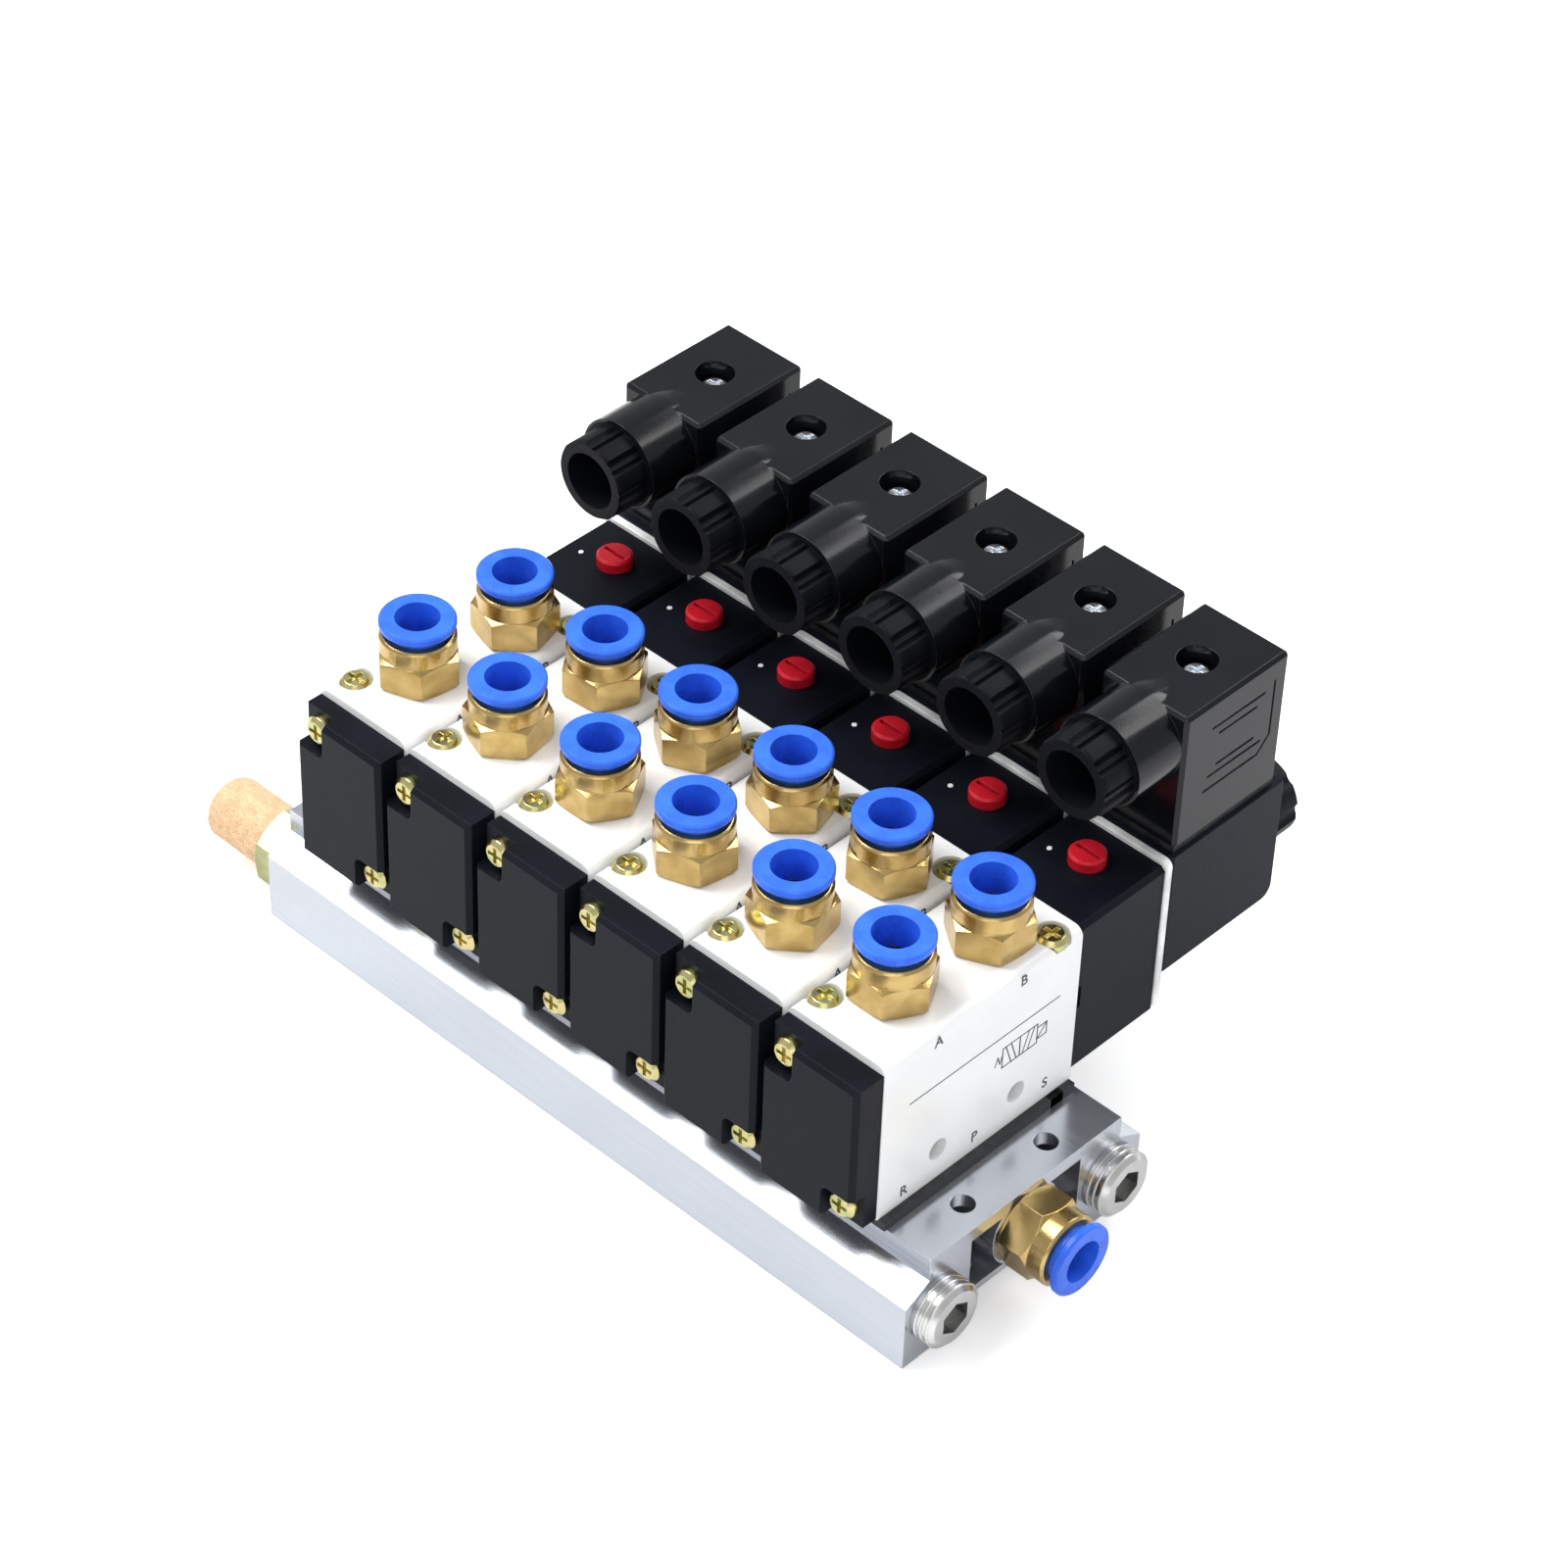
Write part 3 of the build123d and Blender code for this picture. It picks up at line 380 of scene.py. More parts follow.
def finish(name):
    """The finished material of that name, made once."""
    if name in FINISHES:
        return FINISHES[name]
    tones = bpy.context.scene.valve_island_colours
    edge = bpy.context.scene.valve_island_edges.shading
    recipes = {
        "white_enamel": lambda: enamel("white_enamel", tones.enamel, edge),
        "white_plate": lambda: glossy_plastic("white_plate", shade(tones.enamel, 0.98), edge, 0.36),
        "black_moulding": lambda: moulding("black_moulding", tones.black, edge),
        "connector_moulding": lambda: moulding(
            "connector_moulding", tones.connector, edge, 0.16, 2200.0, 0.000008, 0.26
        ),
        "gland_moulding": lambda: moulding("gland_moulding", shade(tones.connector, 0.95), edge, 0.50),
        "coil_moulding": lambda: moulding("coil_moulding", tones.coil, edge, 0.48, 1900.0, 0.00005),
        "extruded_aluminium": lambda: extrusion("extruded_aluminium", tones.aluminium, edge),
        "brass": lambda: plated("brass", tones.brass, edge, 0.22, (0.34, 0.21, 0.055)),
        "ring_blue": lambda: glossy_plastic("ring_blue", tones.blue, edge),
        "button_red": lambda: glossy_plastic("button_red", tones.red, edge, 0.34),
        "yellow_zinc": lambda: plated("yellow_zinc", tones.yellow_zinc, edge, 0.22, (0.40, 0.46, 0.20), 0.7),
        "bright_zinc": lambda: plated("bright_zinc", tones.bright_zinc, edge, 0.25, (0.66, 0.72, 0.80)),
        "nickel": lambda: plated("nickel", tones.nickel, edge, 0.24),
        "hex_brass": lambda: plated("hex_brass", (0.42, 0.43, 0.20), edge, 0.28, (0.20, 0.23, 0.11)),
        "sintered_bronze": lambda: sintered("sintered_bronze", tones.bronze, edge),
        "gasket_rubber": lambda: rubber("gasket_rubber", edge),
        "ground_steel": lambda: plated("ground_steel", (0.56, 0.57, 0.58), edge, 0.3),
        "print_ink": lambda: ink("print_ink", tones.ink),
    }
    FINISHES[name] = recipes[name]()
    return FINISHES[name]


# ---------------------------------------------------------------- mesh helpers


def put(mesh, name, body=ROOT, material=None):
    """Makes an object of a mesh that is already in place, and lets it ride."""
    piece = bpy.data.objects.new(name, mesh)
    bpy.context.scene.collection.objects.link(piece)
    if material:
        mesh.materials.clear()
        mesh.materials.append(finish(material))
    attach(piece, body)
    return piece


def dress(node, material):
    """Gives a CAD node that keeps its shape a better finish."""
    piece = frame["nodes"][node]
    piece.data.materials.clear()
    piece.data.materials.append(finish(material))
    return piece


def applied(piece):
    """Turns a piece's modifiers into plain mesh."""
    evaluated = piece.evaluated_get(bpy.context.evaluated_depsgraph_get())
    mesh = bpy.data.meshes.new_from_object(evaluated)
    piece.modifiers.clear()
    piece.data = mesh
    return piece


MERGE_DISTANCE = 0.002 * MM
FLAT_ANGLE = math.radians(0.6)
BEVEL_ANGLE = 28.0
LOBE_ANGLE = 35.0
HEXAGON_ANGLE = 24.0
SHARP_ANGLE = 50.0


def merged_mesh(node, name):
    """A clean copy of a CAD node's mesh: doubles merged and flat faces joined."""
    mesh = frame["nodes"][node].data.copy()
    mesh.name = name
    if mesh.has_custom_normals:
        for attribute in [a for a in mesh.attributes if a.name == "custom_normal"]:
            mesh.attributes.remove(attribute)
    work = bmesh.new()
    work.from_mesh(mesh)
    bmesh.ops.remove_doubles(work, verts=work.verts, dist=MERGE_DISTANCE)
    bmesh.ops.dissolve_limit(
        work, angle_limit=FLAT_ANGLE, verts=work.verts, edges=work.edges, delimit={"NORMAL"}
    )
    work.to_mesh(mesh)
    work.free()
    return mesh


def rounded(node, name, width, material, angle=BEVEL_ANGLE, reshape=None):
    """A copy of a CAD node with its edges rounded, which stands for that node."""
    mesh = merged_mesh(node, name)
    if reshape:
        reshape(mesh)
    piece = bpy.data.objects.new(name, mesh)
    bpy.context.scene.collection.objects.link(piece)
    bevel = piece.modifiers.new("edges", "BEVEL")
    bevel.width = width
    bevel.segments = 2
    bevel.limit_method = "ANGLE"
    bevel.angle_limit = math.radians(angle)
    bevel.use_clamp_overlap = True
    bevel.miter_outer = "MITER_ARC"
    piece.data.shade_smooth()
    piece.data.set_sharp_from_angle(angle=math.radians(SHARP_ANGLE))
    weighted = piece.modifiers.new("flat_faces", "WEIGHTED_NORMAL")
    weighted.keep_sharp = True
    applied(piece)
    piece.data.materials.clear()
    piece.data.materials.append(finish(material))
    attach(piece, body_of(frame["nodes"][node])[0])
    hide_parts(node)
    return piece


def flat_text(letter, size, place, name):
    """A printed character on a face that looks along +X, readable from there."""
    curve = bpy.data.curves.new(name, "FONT")
    curve.body = letter
    curve.size = size
    curve.extrude = PRINT_DEPTH
    curve.offset = LETTER_WEIGHT
    curve.align_x = "CENTER"
    curve.align_y = "CENTER"
    curve.resolution_u = 4
    holder = bpy.data.objects.new(name + "_curve", curve)
    bpy.context.scene.collection.objects.link(holder)
    bpy.context.view_layer.update()
    mesh = bpy.data.meshes.new_from_object(holder.evaluated_get(bpy.context.evaluated_depsgraph_get()))
    bpy.data.objects.remove(holder)
    turn = Matrix(((0, 0, 1), (1, 0, 0), (0, 1, 0))).to_4x4()
    mesh.transform(Matrix.Translation(place) @ turn)
    return mesh


GASKET_BULGE = 0.4 * MM
OUTER_BULGE = 1.4 * MM
GASKET_SIDE_SHARE = 0.8


def squeeze_out(mesh):
    """Pushes the long sides of the base gaskets out past the bodies that press on them."""
    for number in range(1, STATIONS + 1):
        low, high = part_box(f"valve_body_{number}")
        middle = (low.x + high.x) / 2
        half = (high.x - low.x) / 2
        for vertex in mesh.vertices:
            offset = vertex.co.x - middle
            if GASKET_SIDE_SHARE * half < abs(offset) < half:
                outer = (number == STATIONS and offset > 0) or (number == 1 and offset < 0)
                reach = half + (OUTER_BULGE if outer else GASKET_BULGE)
                vertex.co.x = middle + math.copysign(reach, offset)


FLUTE_GAIN = 2.1
FLUTED_SHARE = 0.91
CREST_SHARE = 1.01


def deepen_flutes(mesh):
    """Draws the flutes of the gland nuts further in, with their crests where they were."""
    nuts_low, nuts_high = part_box("gland_nuts")
    crest = (nuts_high.z - nuts_low.z) / 2
    height = (nuts_high.z + nuts_low.z) / 2
    for number in range(1, STATIONS + 1):
        low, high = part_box(f"valve_body_{number}")
        middle = (low.x + high.x) / 2
        for vertex in mesh.vertices:
            reach = math.hypot(vertex.co.x - middle, vertex.co.z - height)
            if FLUTED_SHARE * crest < reach < CREST_SHARE * crest:
                share = (crest - FLUTE_GAIN * (crest - reach)) / reach
                vertex.co.x = middle + (vertex.co.x - middle) * share
                vertex.co.z = height + (vertex.co.z - height) * share


# ---------------------------------------------------------------- geometry nodes


class Grove:
    """A geometry node tree under construction."""

    def __init__(self, name, inputs):
        self.tree = bpy.data.node_groups.new(name, "GeometryNodeTree")
        self.tree.interface.new_socket("Geometry", in_out="OUTPUT", socket_type="NodeSocketGeometry")
        self.identifiers = {}
        for label, kind in inputs:
            socket = self.tree.interface.new_socket(label, in_out="INPUT", socket_type=kind)
            self.identifiers[label] = socket.identifier
        self.source = self.tree.nodes.new("NodeGroupInput")
        self.target = self.tree.nodes.new("NodeGroupOutput")

    def add(self, kind, settings=None, inputs=None):
        node = self.tree.nodes.new(kind)
        for key, value in (settings or {}).items():
            setattr(node, key, value)
        for key, value in (inputs or {}).items():
            if isinstance(value, bpy.types.NodeSocket):
                self.tree.links.new(value, node.inputs[key])
            else:
                node.inputs[key].default_value = value
        return node

    def given(self, label):
        return self.source.outputs[label]

    def end(self, geometry):
        """Realizes the instances, sets the material and closes the tree."""
        real = self.add("GeometryNodeRealizeInstances", {}, {"Geometry": geometry})
        painted = self.add(
            "GeometryNodeSetMaterial", {}, {"Geometry": real.outputs[0], "Material": self.given("Material")}
        )
        self.tree.links.new(painted.outputs[0], self.target.inputs[0])

    def grow(self, name, values):
        """Runs the tree and returns its plain mesh."""
        piece = bpy.data.objects.new(name, bpy.data.meshes.new(name))
        bpy.context.scene.collection.objects.link(piece)
        modifier = piece.modifiers.new("grow", "NODES")
        modifier.node_group = self.tree
        for label, value in values.items():
            modifier[self.identifiers[label]] = value
        bpy.context.view_layer.update()
        evaluated = piece.evaluated_get(bpy.context.evaluated_depsgraph_get())
        mesh = bpy.data.meshes.new_from_object(evaluated)
        bpy.data.objects.remove(piece)
        return mesh


def thread_tree():
    """Rings set along X, which read as the turns of a thread."""
    inputs = [
        ("Turns", "NodeSocketInt"),
        ("Pitch", "NodeSocketFloat"),
        ("Radius", "NodeSocketFloat"),
        ("Depth", "NodeSocketFloat"),
        ("Material", "NodeSocketMaterial"),
    ]
    grove = Grove("thread_turns", inputs)
    step = grove.add("ShaderNodeCombineXYZ", {}, {"X": grove.given("Pitch")})
    points = grove.add(
        "GeometryNodeMeshLine", {"mode": "OFFSET"}, {"Count": grove.given("Turns"), "Offset": step.outputs[0]}
    )
    circle = "GeometryNodeCurvePrimitiveCircle"
    turn = grove.add(circle, {}, {"Resolution": 64, "Radius": grove.given("Radius")})
    crest = grove.add(circle, {}, {"Resolution": 8, "Radius": grove.given("Depth")})
    sweep = {"Curve": turn.outputs[0], "Profile Curve": crest.outputs[0]}
    ring = grove.add("GeometryNodeCurveToMesh", {}, sweep)
    upright = grove.add(
        "GeometryNodeTransform", {}, {"Geometry": ring.outputs[0], "Rotation": (0.0, math.pi / 2, 0.0)}
    )
    placed = grove.add(
        "GeometryNodeInstanceOnPoints", {}, {"Points": points.outputs[0], "Instance": upright.outputs[0]}
    )
    grove.end(placed.outputs[0])
    return grove


# ---------------------------------------------------------------- operators


class DressManifold(bpy.types.Operator):
    """Rounds the manifold's edges and gives it die lines"""

    bl_idname = "valve_island.manifold"
    bl_label = "Manifold"

    def execute(self, context):
        edges = context.scene.valve_island_edges
        rounded("manifold", "manifold_extrusion", edges.extrusion, "extruded_aluminium")
        rounded(
            "base_gaskets",
            "gasket_beads",
            edges.moulding,
            "gasket_rubber",
            LOBE_ANGLE,
            squeeze_out,
        )
        return {"FINISHED"}


class DressBodies(bpy.types.Operator):
    """Rounds and enamels the valve bodies"""

    bl_idname = "valve_island.bodies"
    bl_label = "Valve bodies"

    def execute(self, context):
        edges = context.scene.valve_island_edges
        for number in range(1, STATIONS + 1):
            node = f"valve_body_{number}"
            rounded(node, f"body_casting_{number}", edges.casting, "white_enamel")
        return {"FINISHED"}


class DressPrint(bpy.types.Operator):
    """Prints the port letters and the flow symbol on the side of each body"""

    bl_idname = "valve_island.prints"
    bl_label = "Port letters"

    def execute(self, context):
        for number in range(1, STATIONS + 1):
            low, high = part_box(f"valve_body_{number}")
            print_side(number, low, high)
        return {"FINISHED"}


class DressMouldings(bpy.types.Operator):
    """Rounds the end caps, pilot housings and plates"""

    bl_idname = "valve_island.mouldings"
    bl_label = "Caps and pilot housings"

    def execute(self, context):
        edges = context.scene.valve_island_edges
        rounded("end_caps", "end_cap_mouldings", edges.moulding, "black_moulding")
        rounded("pilot_housings", "pilot_mouldings", edges.moulding * 0.6, "black_moulding")
        rounded("pilot_plates", "pilot_plate_mouldings", edges.turned, "white_plate")
        add_vent_dots()
        return {"FINISHED"}


VENT_ASIDE = 6.7 * MM
VENT_BEHIND_BODY = 11.3 * MM
VENT_DOT_RADIUS = 0.5 * MM
VENT_DOT_DEPTH = 0.8 * MM
VENT_DOT_SINK = 0.1 * MM


def add_vent_dots():
    """Small pale discs set in the vents of the pilot housings."""
    middle_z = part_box("pilot_housings")[1].z - VENT_DOT_SINK - VENT_DOT_DEPTH / 2
    work = bmesh.new()
    for number in range(1, STATIONS + 1):
        low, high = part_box(f"valve_body_{number}")
        place = Vector(((low.x + high.x) / 2 - VENT_ASIDE, high.y + VENT_BEHIND_BODY, middle_z))
        bmesh.ops.create_cone(
            work,
            cap_ends=True,
            segments=24,
            radius1=VENT_DOT_RADIUS,
            radius2=VENT_DOT_RADIUS,
            depth=VENT_DOT_DEPTH,
            matrix=Matrix.Translation(place),
        )
    mesh = bpy.data.meshes.new("vent_dots")
    work.to_mesh(mesh)
    work.free()
    put(mesh, "vent_dots", material="white_plate")


class DressCoils(bpy.types.Operator):
    """Rounds the coils and their nuts"""

    bl_idname = "valve_island.coils"
    bl_label = "Coils"

    def execute(self, context):
        edges = context.scene.valve_island_edges
        rounded("coils", "coil_mouldings", edges.moulding, "coil_moulding")
        width = edges.moulding
        rounded("coil_nuts", "coil_nut_mouldings", width, "black_moulding", LOBE_ANGLE)
        dress("core_tubes", "ground_steel")
        return {"FINISHED"}


class DressConnectors(bpy.types.Operator):
    """Rounds the cable connectors and gland nuts"""

    bl_idname = "valve_island.connectors"
    bl_label = "Connectors"

    def execute(self, context):
        edges = context.scene.valve_island_edges
        rounded(
            "connector_housings",
            "connector_mouldings",
            edges.extrusion,
            "connector_moulding",
        )
        rounded(
            "gland_nuts",
            "gland_nut_mouldings",
            edges.moulding,
            "gland_moulding",
            LOBE_ANGLE,
            deepen_flutes,
        )
        dress("connector_gaskets", "gasket_rubber")
        return {"FINISHED"}


class DressScrews(bpy.types.Operator):
    """Plates the cap, valve and connector screws"""

    bl_idname = "valve_island.screws"
    bl_label = "Screws"

    def execute(self, context):
        dress("cap_screws", "yellow_zinc")
        dress("valve_screws", "yellow_zinc")
        dress("connector_screws", "bright_zinc")
        return {"FINISHED"}


class DressFittings(bpy.types.Operator):
    """Finishes the push-in fittings and their release rings"""

    bl_idname = "valve_island.fittings"
    bl_label = "Push-in fittings"

    def execute(self, context):
        edges = context.scene.valve_island_edges
        rounded("fitting_bodies", "fitting_brass", edges.turned * 0.8, "brass", HEXAGON_ANGLE)
        for node in frame["nodes"]:
            if node.startswith("release_ring_"):
                dress(node, "ring_blue")
        return {"FINISHED"}


THREAD_ROOT_RADIUS = 6.25 * MM
FIRST_TURN = 0.6 * MM
PLUG_SIDE = 22.0 * MM
PLUG_HEIGHT = 9.7 * MM
SUPPLY_HEIGHT = 13.8 * MM
SILENCER_EDGE = 0.3 * MM
SILENCER_HEX_LENGTH = 5.05 * MM


class DressPlugs(bpy.types.Operator):
    """Finishes the port plugs, with their threads, and the silencers"""

    bl_idname = "valve_island.plugs"
    bl_label = "Plugs and silencers"

    def execute(self, context):
        thread = context.scene.valve_island_thread
        dress("port_plugs", "nickel")
        manifold_low, manifold_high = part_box("manifold")
        grove = thread_tree()
        turns = grove.grow(
            "thread_turns",
            {
                "Turns": thread.turns,
                "Pitch": thread.pitch,
                "Radius": THREAD_ROOT_RADIUS,
                "Depth": thread.depth,
                "Material": finish("nickel"),
            },
        )
        work = bmesh.new()
        near = manifold_high.x + FIRST_TURN
        far = manifold_low.x - FIRST_TURN
        places = [Matrix.Translation((near, side * PLUG_SIDE, PLUG_HEIGHT)) for side in (-1, 1)]
        places.append(Matrix.Translation((far, 0.0, SUPPLY_HEIGHT)) @ Matrix.Rotation(math.pi, 4, "Z"))
        for place in places:
            copy = turns.copy()
            copy.transform(place)
            work.from_mesh(copy)
        mesh = bpy.data.meshes.new("plug_threads")
        bmesh.ops.recalc_face_normals(work, faces=work.faces)
        work.to_mesh(mesh)
        work.free()
        mesh.shade_smooth()
        put(mesh, "plug_threads", material="nickel")
        silencers = rounded("silencers", "silencer_bronze", SILENCER_EDGE, "sintered_bronze")
        silencers.data.materials.append(finish("hex_brass"))
        seat = manifold_low.x - SILENCER_HEX_LENGTH
        for face in silencers.data.polygons:
            if face.center.x > seat:
                face.material_index = 1
        return {"FINISHED"}


class DressOverrides(bpy.types.Operator):
    """Finishes the override buttons and the inner moving parts"""

    bl_idname = "valve_island.overrides"
    bl_label = "Overrides and inner parts"

    def execute(self, context):
        for number in range(1, STATIONS + 1):
            dress(f"override_button_{number}", "button_red")
            dress(f"override_pin_{number}", "ground_steel")
            dress(f"spool_{number}", "ground_steel")
            dress(f"armature_{number}", "ground_steel")
        return {"FINISHED"}


KEY_PLACE, KEY_SIZE = (-0.55, -0.25, 1.05), (0.7, 0.7)
FILL_PLACE, FILL_SIZE = (0.75, -0.85, 0.75), (0.9, 0.9)
RIM_PLACE, RIM_SIZE = (0.15, 0.95, 0.85), (0.9, 0.5)
LAMP_AIM = Vector((0.0, 0.02, 0.04))
FLOOR_DROP = 0.2 * MM
FLOOR_COLOUR = (0.86, 0.86, 0.87, 1.0)


class DressStage(bpy.types.Operator):
    """Adds the floor, the lamps and the camera"""

    bl_idname = "valve_island.stage"
    bl_label = "Stage"

    def execute(self, context):
        settings = context.scene.valve_island_stage
        context.scene.view_settings.view_transform = "Standard"
        add_floor(settings.floor)
        add_world(settings.sky)
        add_lamp("key_lamp", KEY_PLACE, KEY_SIZE, settings.key)
        add_lamp("fill_lamp", FILL_PLACE, FILL_SIZE, settings.fill)
        add_lamp("rim_lamp", RIM_PLACE, RIM_SIZE, settings.rim)
        add_camera()
        return {"FINISHED"}


# ---------------------------------------------------------------- prints


LETTER_SIZE = 3.1 * MM
LETTER_WEIGHT = 0.05 * MM
STROKE = 0.26 * MM
PRINT_DEPTH = 0.03 * MM
LETTERS = (("A", -12.3, 32.6), ("B", 8.8, 32.6), ("R", -19.0, 2.6), ("P", -1.4, 3.1), ("S", 16.6, 3.6))
RULE_HEIGHT = 22.6
RULE_REACH = 18.7
SYMBOL_LEFT = 4.6
SYMBOL_LOW = 15.2
SYMBOL_SQUARE = 4.4
SOLENOID_LENGTH = 2.4


def stroke(work, x, start, end):
    """Adds a printed line between two (y, z) points, in millimetres, to a bmesh."""
    first = Vector((x, start[0] * MM, start[1] * MM))
    last = Vector((x, end[0] * MM, end[1] * MM))
    along = last - first
    turn = Matrix.Rotation(math.atan2(along.z, along.y), 4, "X")
    size = Matrix.Diagonal((PRINT_DEPTH, along.length + STROKE, STROKE, 1.0))
    middle = (first + last) / 2 + Vector((PRINT_DEPTH / 2, 0.0, 0.0))
    bmesh.ops.create_cube(work, size=1.0, matrix=Matrix.Translation(middle) @ turn @ size)


def flow_symbol():
    """The strokes of a 5/2 flow symbol: two squares, flow paths, a spring and a solenoid."""
    side = SYMBOL_SQUARE
    left, low = SYMBOL_LEFT, SYMBOL_LOW
    strokes = []
    for column in range(2):
        y = left + column * side
        corners = ((y, low), (y + side, low), (y + side, low + side), (y, low + side), (y, low))
        strokes += zip(corners, corners[1:])
        lean = 0.35 * side * (1 if column else -1)
        for share in (0.35, 0.65):
            middle = y + share * side
            strokes.append(((middle - lean / 2, low), (middle + lean / 2, low + side)))
    spring = [(left - 0.6 * step, low + side * (0.3 if step % 2 else 0.7)) for step in range(4)]
    strokes += zip(spring, spring[1:])
    near, far = left + 2 * side, left + 2 * side + SOLENOID_LENGTH
    under, over = low + 0.2 * side, low + 0.8 * side
    box = ((near, under), (far, under), (far, over), (near, over))
    strokes += zip(box, box[1:])
    strokes.append((box[0], box[2]))
    return strokes


def print_side(number, low, high):
    """Port letters, the rule above them and the flow symbol, on one body's +X side."""
    x = high.x
    floor = low.z / MM
    work = bmesh.new()
    for letter, y, up in LETTERS:
        place = Vector((x, y * MM, (floor + up) * MM))
        work.from_mesh(flat_text(letter, LETTER_SIZE, place, f"letter_{letter}_{number}"))
    stroke(work, x, (-RULE_REACH, floor + RULE_HEIGHT), (RULE_REACH, floor + RULE_HEIGHT))
    for start, end in flow_symbol():
        stroke(work, x, (start[0], floor + start[1]), (end[0], floor + end[1]))
    mesh = bpy.data.meshes.new(f"body_print_{number}")
    work.to_mesh(mesh)
    work.free()
    put(mesh, f"body_print_{number}", material="print_ink")


# ---------------------------------------------------------------- stage


CAMERA_AZIMUTH = 42.59
CAMERA_ELEVATION = 40.61
CAMERA_ROLL = 2.09
CAMERA_TARGET = Vector((2.40, 17.76, 53.46)) * MM
CAMERA_DISTANCE = 0.8440
CAMERA_FOCAL_SHARE = 4908.6 / 1600.0
CAMERA_SHIFT = (0.00496, 0.00103)
SENSOR = 36.0


def add_camera():
    """The camera at the catalogue view."""
    azimuth = math.radians(CAMERA_AZIMUTH)
    elevation = math.radians(CAMERA_ELEVATION)
    roll = math.radians(CAMERA_ROLL)
    level = math.cos(elevation)
    back = Vector((math.sin(azimuth) * level, -math.cos(azimuth) * level, math.sin(elevation)))
    right = Vector((math.cos(azimuth), math.sin(azimuth), 0.0))
    up = back.cross(right)
    right_rolled = right * math.cos(roll) + up * math.sin(roll)
    up_rolled = up * math.cos(roll) - right * math.sin(roll)
    data = bpy.data.cameras.new("catalogue_camera")
    data.sensor_width = SENSOR
    data.lens = SENSOR * CAMERA_FOCAL_SHARE
    data.shift_x, data.shift_y = CAMERA_SHIFT
    data.clip_start = 0.01
    data.clip_end = 50.0
    camera = bpy.data.objects.new("catalogue_camera", data)
    bpy.context.scene.collection.objects.link(camera)
    turn = Matrix((right_rolled, up_rolled, back)).transposed().to_4x4()
    camera.matrix_world = Matrix.Translation(CAMERA_TARGET + back * CAMERA_DISTANCE) @ turn
    bpy.context.scene.camera = camera


def add_lamp(name, place, size, power):
    """A soft rectangular lamp that points at the part."""
    data = bpy.data.lights.new(name, "AREA")
    data.shape = "RECTANGLE"
    data.size, data.size_y = size
    data.energy = power
    lamp = bpy.data.objects.new(name, data)
    bpy.context.scene.collection.objects.link(lamp)
    lamp.location = place
    aim = LAMP_AIM - Vector(place)
    lamp.rotation_mode = "QUATERNION"
    lamp.rotation_quaternion = aim.to_track_quat("-Z", "Y")


def add_world(strength):
    """White sky for the eye, softer as a light and in gloss."""
    world = bpy.data.worlds.new("studio")
    bpy.context.scene.world = world
    world.use_nodes = True
    tree = world.node_tree
    background = tree.nodes["Background"]
    background.inputs["Color"].default_value = (1.0, 1.0, 1.0, 1.0)
    path = tree.nodes.new("ShaderNodeLightPath")
    mix = tree.nodes.new("ShaderNodeMix")
    mix.data_type = "FLOAT"
    tree.links.new(path.outputs["Is Camera Ray"], mix.inputs[0])
    mix.inputs[2].default_value = strength
    mix.inputs[3].default_value = 1.0
    tree.links.new(mix.outputs[0], background.inputs["Strength"])


FLOOR_GLOW = 0.40


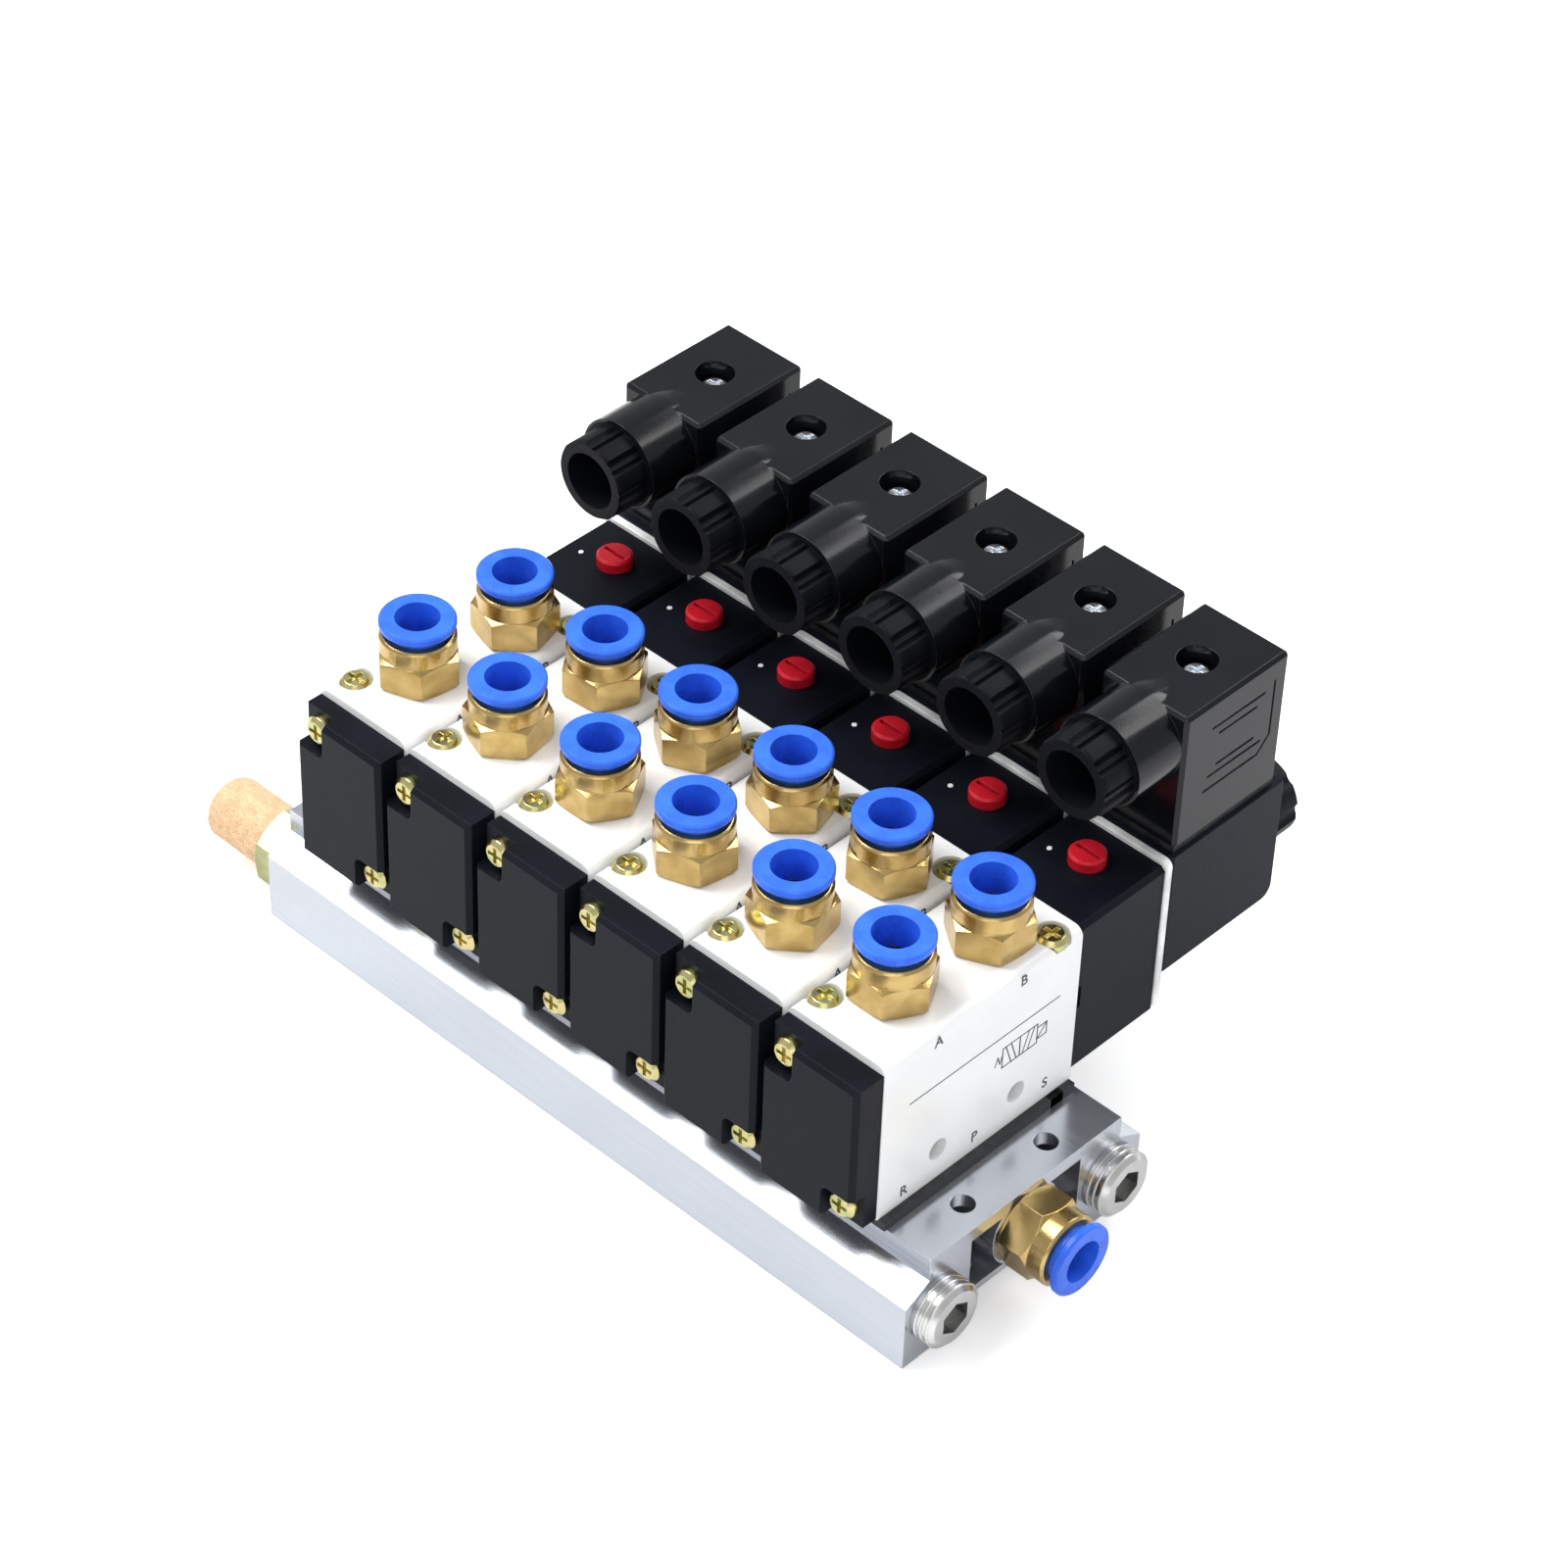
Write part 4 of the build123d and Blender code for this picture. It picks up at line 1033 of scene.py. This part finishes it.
def add_floor(side):
    """A plain pale floor that keeps the part's shadow."""
    mesh = bpy.data.meshes.new("floor")
    work = bmesh.new()
    bmesh.ops.create_grid(work, x_segments=1, y_segments=1, size=side / 2)
    work.to_mesh(mesh)
    work.free()
    floor = bpy.data.objects.new("floor", mesh)
    bpy.context.scene.collection.objects.link(floor)
    floor.location.z = -FLOOR_DROP
    material = bpy.data.materials.new("floor_paper")
    material.use_nodes = True
    tree = material.node_tree
    shader = tree.nodes["Principled BSDF"]
    shader.inputs["Base Color"].default_value = FLOOR_COLOUR
    shader.inputs["Roughness"].default_value = 0.9
    shader.inputs["Specular IOR Level"].default_value = 0.1
    path = tree.nodes.new("ShaderNodeLightPath")
    glow = tree.nodes.new("ShaderNodeMath")
    glow.operation = "MULTIPLY"
    glow.inputs[1].default_value = FLOOR_GLOW
    tree.links.new(path.outputs["Is Camera Ray"], glow.inputs[0])
    shader.inputs["Emission Color"].default_value = (1.0, 1.0, 1.0, 1.0)
    tree.links.new(glow.outputs[0], shader.inputs["Emission Strength"])
    mesh.materials.append(material)


# ---------------------------------------------------------------- panel and registration


OPERATORS = (
    DressManifold,
    DressBodies,
    DressPrint,
    DressMouldings,
    DressCoils,
    DressConnectors,
    DressScrews,
    DressFittings,
    DressPlugs,
    DressOverrides,
    DressStage,
)
GROUPS = {
    "valve_island_edges": ValveIslandEdges,
    "valve_island_colours": ValveIslandColours,
    "valve_island_thread": ValveIslandThread,
    "valve_island_stage": ValveIslandStage,
}


class ValveIslandPanel(bpy.types.Panel):
    """Lists the dressing steps"""

    bl_idname = "VIEW3D_PT_valve_island"
    bl_label = "Valve island"
    bl_space_type = "VIEW_3D"
    bl_region_type = "UI"
    bl_category = "Valve island"

    def draw(self, context):
        for operator in OPERATORS:
            self.layout.operator(operator.bl_idname)


def register():
    """Registers the property groups, operators and panel."""
    for name, group in GROUPS.items():
        bpy.utils.register_class(group)
        setattr(bpy.types.Scene, name, PointerProperty(type=group))
    for operator in OPERATORS:
        bpy.utils.register_class(operator)
    bpy.utils.register_class(ValveIslandPanel)


def unregister():
    """Removes what register added."""
    bpy.utils.unregister_class(ValveIslandPanel)
    for operator in reversed(OPERATORS):
        bpy.utils.unregister_class(operator)
    for name, group in GROUPS.items():
        delattr(bpy.types.Scene, name)
        bpy.utils.unregister_class(group)


def main():
    """Dresses the island step by step."""
    register()
    for operator in OPERATORS:
        group, step = operator.bl_idname.split(".")
        getattr(getattr(bpy.ops, group), step)()
    bpy.context.view_layer.update()


if __name__ == "__main__":
    main()
